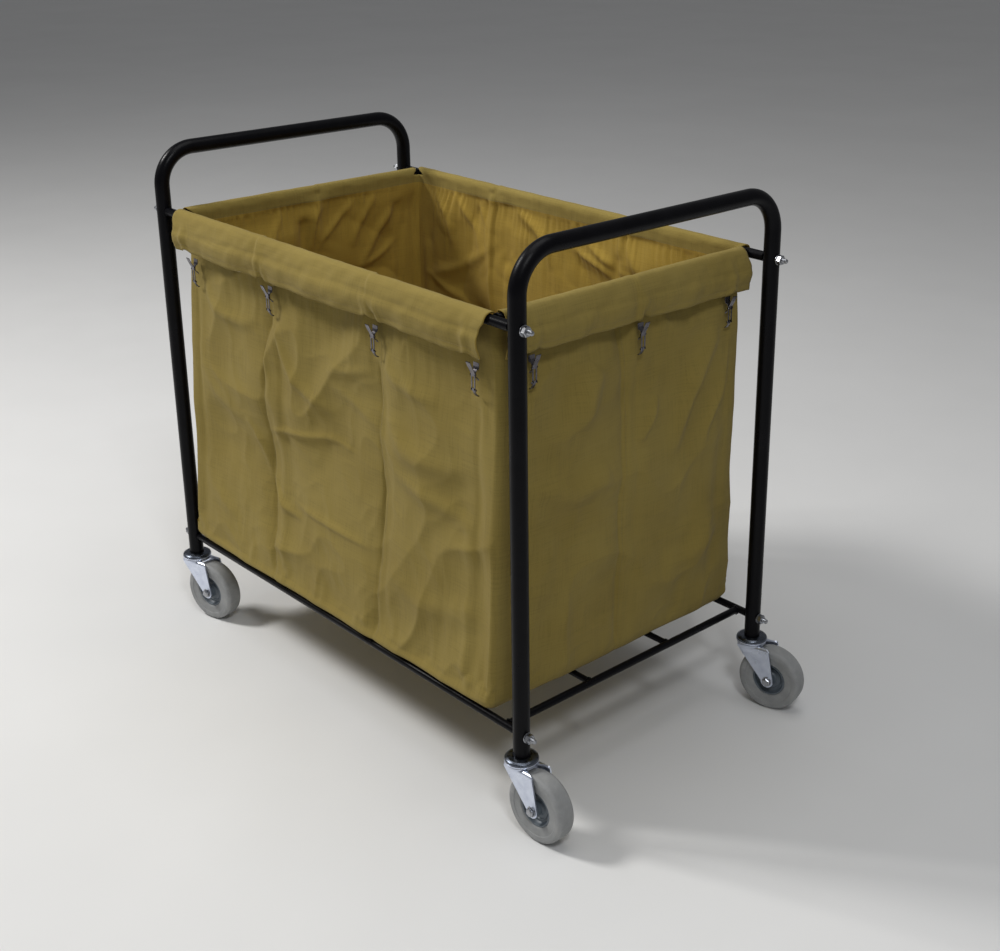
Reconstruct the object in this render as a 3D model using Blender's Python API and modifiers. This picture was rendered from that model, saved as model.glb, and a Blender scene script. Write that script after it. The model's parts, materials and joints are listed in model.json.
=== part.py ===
"""Housekeeping cart: two bent-tube end frames, two bolted rail rings, a canvas bag held by spring clips, four casters.

Metres, +Z up. +X is the front end of the cart and +Y is its left side. The origin is on the floor, under the
middle of the whole cart's outline.
"""

import math

import bmesh
import bpy
from mathutils import Vector

# Driving dimensions
LEG_SPAN_X = 0.896  # leg centre to leg centre, along the cart
LEG_SPAN_Y = 0.507  # leg centre to leg centre, across the cart
HANDLE_HEIGHT = 0.858  # centre line of the push bars
LEG_BOTTOM = 0.121
TUBE_RADIUS = 0.0125
TUBE_WALL = 0.0015
TUBE_SIDES = 12
BEND_RADIUS = 0.060

TOP_RAIL_HEIGHT = 0.757
TOP_RAIL_RADIUS = 0.0075
TOP_CROSS_INSET = 0.048  # from the leg centres to the cross rails
RACK_HEIGHT = 0.1545
RACK_RAIL_RADIUS = 0.006
RACK_CROSS_INSET = 0.032
ROD_RADIUS = 0.005
RAIL_WALL = 0.0012

WHEEL_RADIUS = 0.053
WHEEL_TRAIL = 0.039
TYRE_WIDTH = 0.031
HUB_RADIUS = 0.0275
AXLE_RADIUS = 0.0038
CROWN_RADIUS = 0.024
CROWN_BOTTOM = 0.108
FORK_PLATE = 0.0028
FORK_INSIDE = 0.0172  # from the wheel's middle plane to a cheek's inner face

BAG_THICKNESS = 0.003
BAG_CORNER = 0.010
CLIP_WIDTH = 0.010
LONG_CLIP_HEIGHT = 0.667  # middle of the clips on the long sides
SHORT_CLIP_HEIGHT = 0.676
LONG_CLIP_PLACES = (-0.362, -0.137, 0.137, 0.362)  # along X
SHORT_CLIP_PLACES = (-0.194, 0.015, 0.203)  # along Y at the front, and turned about at the rear

# The wheels trail forwards and to the left, so the legs' middle is a little behind the outline's, and to its right
FRAME_BACK = 0.0310
FRAME_RIGHT = 0.0061

GAP = 0.0003  # kept between pieces that touch

# Worked out from the driving dimensions
LEG_X = LEG_SPAN_X / 2
LEG_Y = LEG_SPAN_Y / 2
TOP_CROSS_X = LEG_X - TOP_CROSS_INSET
RACK_CROSS_X = LEG_X - RACK_CROSS_INSET
ROD_Y = LEG_SPAN_Y / 6
CROWN_TOP = CROWN_BOTTOM + FORK_PLATE

# Which way each caster has swivelled: the direction in which its wheel trails, in degrees from +X
CORNERS = {
    "front_right": (1, -1, 3.0),
    "front_left": (1, 1, 15.0),
    "rear_right": (-1, -1, 13.0),
    "rear_left": (-1, 1, 9.0),
}

# The bag's wall, halfway through the canvas: height, reach to the front, reach to the rear, and half width
BAG_WALL = (
    (0.1625, 0.378, 0.420, 0.252),
    (0.1655, 0.386, 0.428, 0.260),
    (0.1745, 0.389, 0.431, 0.263),
    (0.308, 0.393, 0.424, 0.258),
    (0.458, 0.398, 0.416, 0.252),
    (0.608, 0.402, 0.408, 0.2455),
    (0.698, 0.403, 0.403, 0.243),
    (0.730, 0.3925, 0.3925, 0.243),
    (TOP_RAIL_HEIGHT, 0.3895, 0.3895, 0.243),
)
BAG_FOLD_RADIUS = 0.0105
BAG_FOLD_ANGLES = (150, 120, 90, 65, 40)
# The flap outside a rail: distance outwards from the rail's centre line, and height above it
BAG_FLAP = ((0.0140, -0.008), (0.0165, -0.024), (0.0165, -0.052))
BAG_SEGMENTS = (6, 10, 3)  # on a short side, on a long side, and round a corner

# A clip seen from its edge: distance out from the canvas, and height from the clip's middle
CLIP_OUTLINE = (
    (0.0005, -0.0270),
    (0.0028, -0.0270),
    (0.0090, -0.0155),
    (0.0090, 0.0050),
    (0.0198, 0.0255),
    (0.0180, 0.0268),
    (0.0078, 0.0105),
    (0.0045, 0.0200),
    (0.0022, 0.0195),
    (0.0062, 0.0060),
    (0.0062, -0.0150),
)
CLIP_SLOT = (0.004, 0.016)  # width and height of the window in its body

# Name, base colour, roughness, metallic
FINISHES = {
    "black_coat": ((0.012, 0.012, 0.014), 0.35, 0.0),
    "zinc": ((0.62, 0.64, 0.70), 0.28, 1.0),
    "dark_zinc": ((0.05, 0.055, 0.06), 0.4, 0.6),
    "nickel": ((0.45, 0.45, 0.47), 0.3, 1.0),
    "canvas": ((0.30, 0.24, 0.10), 0.9, 0.0),
    "tyre_grey": ((0.38, 0.39, 0.39), 0.7, 0.0),
    "hub_grey": ((0.19, 0.22, 0.25), 0.5, 0.0),
    "plug_black": ((0.02, 0.02, 0.02), 0.6, 0.0),
}


def clear_scene():
    for item in list(bpy.data.objects):
        bpy.data.objects.remove(item, do_unlink=True)


def new_collection(name):
    group = bpy.data.collections.new(name)
    bpy.context.scene.collection.children.link(group)
    return group


def new_material(name, colour, roughness, metallic):
    matter = bpy.data.materials.new(name)
    matter.use_nodes = True
    shader = matter.node_tree.nodes["Principled BSDF"]
    shader.inputs["Base Color"].default_value = (*colour, 1.0)
    shader.inputs["Roughness"].default_value = roughness
    shader.inputs["Metallic"].default_value = metallic
    matter.diffuse_color = (*colour, 1.0)
    return matter


def add_object(name, mesh, finish):
    """A visible sub-part with its own material."""
    piece = bpy.data.objects.new(name, mesh)
    if not mesh.materials:
        mesh.materials.append(new_material(name, *FINISHES[finish]))
    PARTS.objects.link(piece)
    return piece


def add_cutter(name, mesh):
    """A hidden shape that a Boolean cuts with or joins on."""
    cutter = bpy.data.objects.new(name, mesh)
    cutter.hide_render = True
    cutter.display_type = "WIRE"
    CUTTERS.objects.link(cutter)
    return cutter


def combine(piece, other, operation):
    step = piece.modifiers.new(operation.lower(), "BOOLEAN")
    step.operation = operation
    step.object = other


def smooth(mesh, angle=40.0):
    mesh.shade_smooth()
    mesh.set_sharp_from_angle(angle=math.radians(angle))


def aim(item, start, end):
    """Puts a shape that is centred on its own Z axis between two points."""
    start = Vector(start)
    end = Vector(end)
    item.location = (start + end) / 2
    item.rotation_mode = "QUATERNION"
    item.rotation_quaternion = (end - start).to_track_quat("Z", "Y")


def cylinder_mesh(name, radius, depth, sides, caps=True):
    shape = bmesh.new()
    bmesh.ops.create_cone(
        shape, cap_ends=caps, segments=sides, radius1=radius, radius2=radius, depth=depth
    )
    mesh = bpy.data.meshes.new(name)
    shape.to_mesh(mesh)
    shape.free()
    smooth(mesh)
    return mesh


def box_mesh(name, size):
    shape = bmesh.new()
    bmesh.ops.create_cube(shape, size=1.0)
    bmesh.ops.scale(shape, vec=size, verts=shape.verts)
    mesh = bpy.data.meshes.new(name)
    shape.to_mesh(mesh)
    shape.free()
    return mesh


def mesh_of_curve(name, curve):
    """The curve's evaluated surface as a mesh with its seams welded."""
    carrier = bpy.data.objects.new(name, curve)
    PARTS.objects.link(carrier)
    graph = bpy.context.evaluated_depsgraph_get()
    mesh = bpy.data.meshes.new_from_object(carrier.evaluated_get(graph))
    bpy.data.objects.remove(carrier, do_unlink=True)
    shape = bmesh.new()
    shape.from_mesh(mesh)
    bmesh.ops.remove_doubles(shape, verts=shape.verts, dist=0.00001)
    shape.to_mesh(mesh)
    shape.free()
    mesh.name = name
    return mesh


def add_wall(piece, thickness):
    """Gives an open tube its wall, inwards from the outer surface."""
    wall = piece.modifiers.new("wall", "SOLIDIFY")
    wall.thickness = thickness
    wall.offset = -1.0
    wall.use_even_offset = True


def straight_tube(name, start, end, radius, wall):
    length = (Vector(end) - Vector(start)).length
    tube = add_object(name, cylinder_mesh(name, radius, length, 14, caps=False), "black_coat")
    aim(tube, start, end)
    add_wall(tube, wall)
    return tube


def turned(name, profile, sides, finish, closed=False):
    """A shape turned about its own Z axis from (radius, height) points that run down its outer side."""
    mesh = bpy.data.meshes.new(name)
    count = len(profile)
    edges = [(i, i + 1) for i in range(count - 1)]
    if closed:
        edges.append((count - 1, 0))
    mesh.from_pydata([(radius, 0.0, height) for radius, height in profile], edges, [])
    piece = add_object(name, mesh, finish)
    screw = piece.modifiers.new("turn", "SCREW")
    screw.steps = sides
    screw.render_steps = sides
    screw.use_merge_vertices = True
    screw.merge_threshold = 0.00001
    screw.use_smooth_shade = True
    return piece


def flat_plate(name, outline, thickness):
    """A flat plate in its own XY plane, centred on it."""
    curve = bpy.data.curves.new(name, "CURVE")
    curve.dimensions = "2D"
    curve.fill_mode = "BOTH"
    curve.extrude = thickness / 2
    line = curve.splines.new("POLY")
    line.points.add(len(outline) - 1)
    for point, (x, y) in zip(line.points, outline):
        point.co = (x, y, 0.0, 1.0)
    line.use_cyclic_u = True
    return mesh_of_curve(name, curve)


def arc(centre, radius, start, end, steps):
    """Points on an arc in a plane, with angles in degrees."""
    angles = [math.radians(start + (end - start) * i / steps) for i in range(steps + 1)]
    return [(centre[0] + radius * math.cos(a), centre[1] + radius * math.sin(a)) for a in angles]


def frame_path():
    """Up one leg, round two bends and down the other leg, as (y, z) points."""
    inner = LEG_Y - BEND_RADIUS
    spring = HANDLE_HEIGHT - BEND_RADIUS
    path = [(LEG_Y, LEG_BOTTOM)]
    path += arc((inner, spring), BEND_RADIUS, 0, 90, 6)
    path += arc((-inner, spring), BEND_RADIUS, 90, 180, 6)
    path.append((-LEG_Y, LEG_BOTTOM))
    return path


def make_end_frame(end, side):
    """A push bar and two legs from one bent tube, drilled for the four rail bolts."""
    name = f"end_frame_{end}"
    curve = bpy.data.curves.new(name, "CURVE")
    curve.dimensions = "3D"
    curve.bevel_depth = TUBE_RADIUS
    curve.bevel_resolution = (TUBE_SIDES - 4) // 2
    path = frame_path()
    line = curve.splines.new("POLY")
    line.points.add(len(path) - 1)
    for point, (y, z) in zip(line.points, path):
        point.co = (0.0, y, z, 1.0)
    mesh = mesh_of_curve(name, curve)
    smooth(mesh)
    frame = add_object(name, mesh, "black_coat")
    frame.location = (side * LEG_X, 0.0, 0.0)
    add_wall(frame, TUBE_WALL)
    for y in (-LEG_Y, LEG_Y):
        for height in (TOP_RAIL_HEIGHT, RACK_HEIGHT):
            drill = add_cutter(f"{name}_hole", cylinder_mesh("hole", 0.0043, 0.04, 12))
            aim(drill, (side * LEG_X - 0.02, y, height), (side * LEG_X + 0.02, y, height))
            combine(frame, drill, "DIFFERENCE")


def make_rails():
    """The top ring that carries the bag and the rack under it, each of two side rails and two cross rails."""
    leg_face = LEG_X - TUBE_RADIUS - GAP
    rings = (
        ("top", TOP_RAIL_HEIGHT, TOP_RAIL_RADIUS, TOP_CROSS_X),
        ("rack", RACK_HEIGHT, RACK_RAIL_RADIUS, RACK_CROSS_X),
    )
    for ring, height, radius, cross_x in rings:
        for side, y in (("left", LEG_Y), ("right", -LEG_Y)):
            name = f"{ring}_side_rail_{side}"
            straight_tube(name, (-leg_face, y, height), (leg_face, y, height), radius, RAIL_WALL)
        reach = LEG_Y - radius - GAP
        for end, x in (("front", cross_x), ("rear", -cross_x)):
            name = f"{ring}_cross_rail_{end}"
            straight_tube(name, (x, -reach, height), (x, reach, height), radius, RAIL_WALL)


def make_rods():
    """Two solid rods between the rack's cross rails, under the bag."""
    reach = RACK_CROSS_X - RACK_RAIL_RADIUS - GAP
    for side, y in (("left", ROD_Y), ("right", -ROD_Y)):
        name = f"rack_rod_{side}"
        rod = add_object(name, cylinder_mesh(name, ROD_RADIUS, 2 * reach, 12), "black_coat")
        aim(rod, (-reach, y, RACK_HEIGHT), (reach, y, RACK_HEIGHT))


def make_bolt(name, x_side, y, height):
    """A stud through a leg into a rail's end: washer, hexagon nut and the stud's tip outside the leg."""
    face = LEG_X + TUBE_RADIUS + GAP
    outside = (("washer", 0.0078, 0.0012, 16), ("hexagon", 0.0075, 0.0085, 6), ("tip", 0.0036, 0.0175, 12))
    tail = LEG_X - TUBE_RADIUS - 0.016
    bolt = add_object(name, cylinder_mesh(name, 0.0038, face + 0.0008 - tail, 12), "zinc")
    aim(bolt, (x_side * tail, y, height), (x_side * (face + 0.0008), y, height))
    for label, radius, length, sides in outside:
        shape = add_cutter(f"{name}_{label}", cylinder_mesh(label, radius, length, sides))
        aim(shape, (x_side * face, y, height), (x_side * (face + length), y, height))
        combine(bolt, shape, "UNION")


def make_insert(corner, x, y):
    """The plug in the leg's lower end that grips the caster's stem."""
    bottom = LEG_BOTTOM + 0.0005
    top = bottom + 0.0255
    outer = (TUBE_RADIUS - TUBE_WALL) * math.cos(math.pi / TUBE_SIDES) - GAP
    inner = 0.0054
    profile = ((inner, top), (outer, top), (outer, bottom), (inner, bottom))
    plug = turned(f"leg_insert_{corner}", profile, 16, "plug_black", closed=True)
    plug.location = (x, y, 0.0)


def make_caster_head(corner, x, y):
    """The fixed half of the swivel: rivet below the fork, dust cup above it, and the stem up into the leg."""
    cup_bottom = CROWN_TOP + GAP
    cup_top = LEG_BOTTOM - GAP
    stem_top = LEG_BOTTOM + 0.024
    rivet_top = CROWN_BOTTOM - GAP
    profile = (
        (0.0, stem_top),
        (0.0042, stem_top),
        (0.0050, stem_top - 0.001),
        (0.0050, cup_top),
        (0.0175, cup_top),
        (0.0240, cup_top - 0.0018),
        (0.0250, cup_top - 0.0045),
        (0.0250, cup_bottom),
        (0.0052, cup_bottom),
        (0.0052, rivet_top),
        (0.0080, rivet_top),
        (0.0070, rivet_top - 0.0028),
        (0.0, rivet_top - 0.0028),
    )
    head = turned(f"caster_head_{corner}", profile, 16, "dark_zinc")
    head.location = (x, y, 0.0)


def cheek_outline():
    """One side of the fork in its X-Z plane, from the crown down to the eye round the axle."""
    eye = (WHEEL_TRAIL, WHEEL_RADIUS)
    points = [(-0.0165, CROWN_BOTTOM - 0.004), (-0.0150, CROWN_TOP - GAP), (0.0395, CROWN_TOP - GAP)]
    points += [(0.0420, CROWN_BOTTOM)]
    points += arc(eye, 0.0105, 8, -168, 6)
    return points


def make_fork(name, pivot):
    """Crown plate and two tapering cheeks as one pressing, with the swivel hole and the axle holes."""
    fork = add_object(name, cylinder_mesh(name, CROWN_RADIUS, FORK_PLATE, 20), "zinc")
    fork.parent = pivot
    fork.location = (0.0, 0.0, CROWN_BOTTOM + FORK_PLATE / 2)
    bridge = add_cutter(f"{name}_bridge", box_mesh("bridge", (0.034, 2 * FORK_INSIDE + FORK_PLATE, FORK_PLATE - 2 * GAP)))
    bridge.parent = pivot
    bridge.location = (0.002, 0.0, CROWN_BOTTOM + FORK_PLATE / 2)
    combine(fork, bridge, "UNION")
    for side in (-1, 1):
        cheek = add_cutter(f"{name}_cheek", flat_plate("cheek", cheek_outline(), FORK_PLATE))
        cheek.parent = pivot
        cheek.location = (0.0, side * (FORK_INSIDE + FORK_PLATE / 2), 0.0)
        cheek.rotation_euler = (math.pi / 2, 0.0, 0.0)
        combine(fork, cheek, "UNION")
    swivel_hole = add_cutter(f"{name}_swivel_hole", cylinder_mesh("swivel_hole", 0.0060, 0.02, 16))
    swivel_hole.parent = pivot
    swivel_hole.location = (0.0, 0.0, CROWN_BOTTOM)
    combine(fork, swivel_hole, "DIFFERENCE")
    axle_hole = add_cutter(f"{name}_axle_hole", cylinder_mesh("axle_hole", 0.0042, 0.08, 12))
    axle_hole.parent = pivot
    axle_hole.location = (WHEEL_TRAIL, 0.0, WHEEL_RADIUS)
    axle_hole.rotation_euler = (math.pi / 2, 0.0, 0.0)
    combine(fork, axle_hole, "DIFFERENCE")


def make_axle(name, hub_centre):
    """The axle bolt: shank, hexagon head and hexagon nut, outside the two cheeks."""
    cheek_face = FORK_INSIDE + FORK_PLATE + GAP
    axle = add_object(name, cylinder_mesh(name, AXLE_RADIUS, 2 * cheek_face + 0.012, 12), "zinc")
    axle.parent = hub_centre
    for side in (-1, 1):
        nut = add_cutter(f"{name}_nut", cylinder_mesh("nut", 0.0073, 0.0045, 6))
        nut.parent = hub_centre
        nut.location = (0.0, 0.0, side * (cheek_face + 0.00225))
        combine(axle, nut, "UNION")


def tyre_profile(vertex_scale):
    """A solid tyre's section: rounded shoulders, and sides that lean in towards the hub."""
    half = TYRE_WIDTH / 2
    shoulder = 0.006
    crown = WHEEL_RADIUS - shoulder
    top = [(r, h) for h, r in arc((half - shoulder, crown), shoulder, 0, 90, 3)]
    bottom = [(r, -h) for r, h in reversed(top)]
    inner = HUB_RADIUS + GAP
    points = [(inner, half - 0.003), (HUB_RADIUS + 0.004, half - 0.0014)] + top
    points += bottom + [(HUB_RADIUS + 0.004, 0.0014 - half), (inner, 0.003 - half)]
    return [(radius * vertex_scale, height) for radius, height in points]


def hub_profile():
    """Rim, recessed web and boss, from the bore round the outside and back, for a hollow turned shape."""
    bore = 0.0043
    boss = FORK_INSIDE - 0.0005
    rim = TYRE_WIDTH / 2 - 0.003
    upper = [(bore, boss), (0.0095, boss), (0.0110, 0.006), (0.0215, 0.005), (0.0240, rim), (HUB_RADIUS, rim)]
    lower = [(radius, -height) for radius, height in reversed(upper)]
    return upper + lower


def make_wheel(corner, hub_centre):
    """Tyre and hub, turned about the axle. The tyre has a flat facet at the floor."""
    sides = 24
    vertex_scale = 1.0 / math.cos(math.pi / sides)
    tyre = turned(f"caster_tyre_{corner}", tyre_profile(vertex_scale), sides, "tyre_grey", closed=True)
    tyre.parent = hub_centre
    tyre.rotation_euler = (0.0, 0.0, math.pi / sides)
    hub = turned(f"caster_hub_{corner}", hub_profile(), sides, "hub_grey", closed=True)
    hub.parent = hub_centre
    hub.rotation_euler = (0.0, 0.0, math.pi / sides)


def make_caster(corner, x_side, y_side, trail_angle):
    x = x_side * LEG_X
    y = y_side * LEG_Y
    make_insert(corner, x, y)
    make_caster_head(corner, x, y)
    pivot = bpy.data.objects.new(f"caster_pivot_{corner}", None)
    pivot.location = (x, y, 0.0)
    pivot.rotation_euler = (0.0, 0.0, math.radians(trail_angle))
    CUTTERS.objects.link(pivot)
    hub_centre = bpy.data.objects.new(f"caster_hub_centre_{corner}", None)
    hub_centre.parent = pivot
    hub_centre.location = (WHEEL_TRAIL, 0.0, WHEEL_RADIUS)
    hub_centre.rotation_euler = (-math.pi / 2, 0.0, 0.0)
    CUTTERS.objects.link(hub_centre)
    make_fork(f"caster_fork_{corner}", pivot)
    make_axle(f"caster_axle_{corner}", hub_centre)
    make_wheel(corner, hub_centre)


def bag_ring(front_x, rear_x, half_y):
    """The four straight runs and four round corners of the bag at one height, as (side, x, y) columns.

    side is 0 to 3 for the front, left, rear and right runs, and None inside a corner.
    """
    short, long, round_ = BAG_SEGMENTS
    ahead = front_x - BAG_CORNER
    behind = BAG_CORNER - rear_x
    flat_y = half_y - BAG_CORNER
    runs = (
        ((front_x, -flat_y), (front_x, flat_y), short),
        ((ahead, half_y), (behind, half_y), long),
        ((-rear_x, flat_y), (-rear_x, -flat_y), short),
        ((behind, -half_y), (ahead, -half_y), long),
    )
    centres = ((ahead, flat_y), (behind, flat_y), (behind, -flat_y), (ahead, -flat_y))
    columns = []
    for side, ((x0, y0), (x1, y1), steps) in enumerate(runs):
        for i in range(steps + 1):
            share = i / steps
            columns.append((side, x0 + (x1 - x0) * share, y0 + (y1 - y0) * share))
        corner = arc(centres[side], BAG_CORNER, 90 * side, 90 * side + 90, round_)
        columns += [(None, x, y) for x, y in corner[1:-1]]
    return columns


def over_the_rail():
    """The canvas from the top of the wall over the rail and down the flap, as (outwards, up) from the rail."""
    fold = [
        (BAG_FOLD_RADIUS * math.cos(math.radians(a)), BAG_FOLD_RADIUS * math.sin(math.radians(a)))
        for a in BAG_FOLD_ANGLES
    ]
    return fold + list(BAG_FLAP)


def fold_point(side, x, y, out, up):
    """Where a column of one side lies once it has gone out over that side's rail."""
    height = TOP_RAIL_HEIGHT + up
    if side == 0:
        return (TOP_CROSS_X + out, y, height)
    if side == 1:
        return (x, LEG_Y + out, height)
    if side == 2:
        return (-TOP_CROSS_X - out, y, height)
    return (x, -LEG_Y - out, height)


def make_bag():
    """One canvas shell: floor, four walls inside the rails, and a flap over each rail, slit at the corners."""
    sheet = bmesh.new()
    columns = bag_ring(*BAG_WALL[-1][1:])
    count = len(columns)
    rows = []
    for height, front_x, rear_x, half_y in BAG_WALL:
        ring = bag_ring(front_x, rear_x, half_y)
        rows.append([sheet.verts.new((x, y, height)) for _, x, y in ring])
    sheet.faces.new(list(reversed(rows[0])))
    for lower, upper in zip(rows, rows[1:]):
        for i in range(count):
            j = (i + 1) % count
            sheet.faces.new((lower[i], lower[j], upper[j], upper[i]))
    previous = rows[-1]
    for out, up in over_the_rail():
        row = []
        for side, x, y in columns:
            place = None if side is None else sheet.verts.new(fold_point(side, x, y, out, up))
            row.append(place)
        for i in range(count - 1):
            if columns[i][0] is not None and columns[i][0] == columns[i + 1][0]:
                sheet.faces.new((previous[i], previous[i + 1], row[i + 1], row[i]))
        previous = row
    mesh = bpy.data.meshes.new("bag")
    sheet.to_mesh(mesh)
    sheet.free()
    smooth(mesh, 60.0)
    bag = add_object("bag", mesh, "canvas")
    canvas = bag.modifiers.new("canvas", "SOLIDIFY")
    canvas.thickness = BAG_THICKNESS
    canvas.offset = 0.0
    canvas.use_even_offset = True


def make_clip(name, place, turn):
    """A spring clip that stands off the bag's wall: foot, slotted body, a short inner arm and a long outer one."""
    mesh = flat_plate(name, CLIP_OUTLINE, CLIP_WIDTH)
    clip = add_object(name, mesh, "nickel")
    clip.rotation_euler = (math.pi / 2, 0.0, turn)
    clip.location = place
    slot = add_cutter(f"{name}_slot", box_mesh("slot", (0.02, CLIP_SLOT[1], CLIP_SLOT[0])))
    slot.parent = clip
    slot.location = (0.0076, -0.0045, 0.0)
    combine(clip, slot, "DIFFERENCE")


def canvas_at(clip_height, column):
    """How far out a clip at this height stands, so that its foot just clears the canvas."""
    foot = clip_height + CLIP_OUTLINE[0][1]
    below, above = next(pair for pair in zip(BAG_WALL, BAG_WALL[1:]) if pair[1][0] >= foot)
    share = (foot - below[0]) / (above[0] - below[0])
    wall = below[column] + (above[column] - below[column]) * share
    return wall + BAG_THICKNESS / 2 + 2 * GAP


def make_clips():
    """Four clips on each long side and three on each short one, just under the flap's edge."""
    side_y = canvas_at(LONG_CLIP_HEIGHT, 3)
    for number, x in enumerate(LONG_CLIP_PLACES, start=1):
        make_clip(f"clip_left_{number}", (x, side_y, LONG_CLIP_HEIGHT), math.pi / 2)
        make_clip(f"clip_right_{number}", (x, -side_y, LONG_CLIP_HEIGHT), -math.pi / 2)
    front_x = canvas_at(SHORT_CLIP_HEIGHT, 1)
    rear_x = canvas_at(SHORT_CLIP_HEIGHT, 2)
    for number, y in enumerate(SHORT_CLIP_PLACES, start=1):
        make_clip(f"clip_front_{number}", (front_x, y, SHORT_CLIP_HEIGHT), 0.0)
        make_clip(f"clip_rear_{number}", (-rear_x, -y, SHORT_CLIP_HEIGHT), math.pi)


def place_cart():
    """Puts the legs' middle, which everything is laid out from, where it belongs beside the origin."""
    legs_middle = bpy.data.objects.new("legs_middle", None)
    legs_middle.location = (-FRAME_BACK, -FRAME_RIGHT, 0.0)
    for item in bpy.data.objects:
        if item.parent is None and item != legs_middle:
            item.parent = legs_middle
    PARTS.objects.link(legs_middle)


def main():
    make_end_frame("front", 1)
    make_end_frame("rear", -1)
    make_rails()
    make_rods()
    for corner, (x_side, y_side, trail_angle) in CORNERS.items():
        make_bolt(f"top_bolt_{corner}", x_side, y_side * LEG_Y, TOP_RAIL_HEIGHT)
        make_bolt(f"rack_bolt_{corner}", x_side, y_side * LEG_Y, RACK_HEIGHT)
        make_caster(corner, x_side, y_side, trail_angle)
    make_bag()
    make_clips()
    place_cart()
    bpy.context.view_layer.update()


clear_scene()
PARTS = new_collection("housekeeping_cart")
CUTTERS = new_collection("cutters")
main()
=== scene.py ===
"""The looks of the housekeeping cart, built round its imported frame.

Metres, +Z up. +X is the front end of the cart and +Y is its left side. The origin is on the floor, under
the middle of the cart's outline. Every hard piece is a finer copy of its CAD node, and the bag is
simulated cloth.
"""

import json
import math

import bmesh
import bpy
import numpy as np
from mathutils import Matrix, Vector, noise


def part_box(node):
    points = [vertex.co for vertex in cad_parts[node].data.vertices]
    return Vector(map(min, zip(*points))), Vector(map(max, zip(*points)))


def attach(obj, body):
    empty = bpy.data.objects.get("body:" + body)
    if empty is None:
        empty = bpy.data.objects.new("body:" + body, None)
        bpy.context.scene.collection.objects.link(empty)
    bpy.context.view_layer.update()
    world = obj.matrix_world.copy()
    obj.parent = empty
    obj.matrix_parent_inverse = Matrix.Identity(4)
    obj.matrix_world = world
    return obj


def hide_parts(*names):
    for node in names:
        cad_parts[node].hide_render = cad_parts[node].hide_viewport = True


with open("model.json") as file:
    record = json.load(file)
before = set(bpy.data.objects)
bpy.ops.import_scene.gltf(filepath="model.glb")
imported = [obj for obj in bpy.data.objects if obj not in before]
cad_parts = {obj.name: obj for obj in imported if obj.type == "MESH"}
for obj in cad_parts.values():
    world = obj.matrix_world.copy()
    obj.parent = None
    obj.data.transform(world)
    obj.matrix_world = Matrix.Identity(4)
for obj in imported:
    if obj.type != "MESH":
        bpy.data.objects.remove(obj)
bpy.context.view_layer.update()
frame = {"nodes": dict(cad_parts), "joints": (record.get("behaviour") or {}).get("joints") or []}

JOINTS = {joint["name"]: joint for joint in frame["joints"]}
CORNERS = ("front_right", "front_left", "rear_right", "rear_left")
BEND_RADIUS = 0.060
TUBE_WALL = 0.0015


def sum_of_boxes(*nodes):
    return sum((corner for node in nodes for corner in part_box(node)), Vector())


# Everything below is laid out from the point on the floor midway between the legs.
# It is this far from the origin.
LEGS_MIDDLE = sum_of_boxes("end_frame_front", "end_frame_rear") / 4
LEGS_MIDDLE.z = 0.0


def box_of(node):
    low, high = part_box(node)
    return low - LEGS_MIDDLE, high - LEGS_MIDDLE


def middle(node):
    low, high = box_of(node)
    return (low + high) / 2


def nodes_with(*parts):
    """The CAD nodes that have one of these in their names."""
    return [node for node in frame["nodes"] if any(part in node for part in parts)]


LEG_X = middle("end_frame_front").x
LEG_Y = middle("top_bolt_front_left").y
TOP_RAIL_Z = middle("top_side_rail_right").z
TOP_CROSS_X = middle("top_cross_rail_front").x
ROD_Y = middle("rack_rod_left").y


# --- Materials ---


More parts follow.
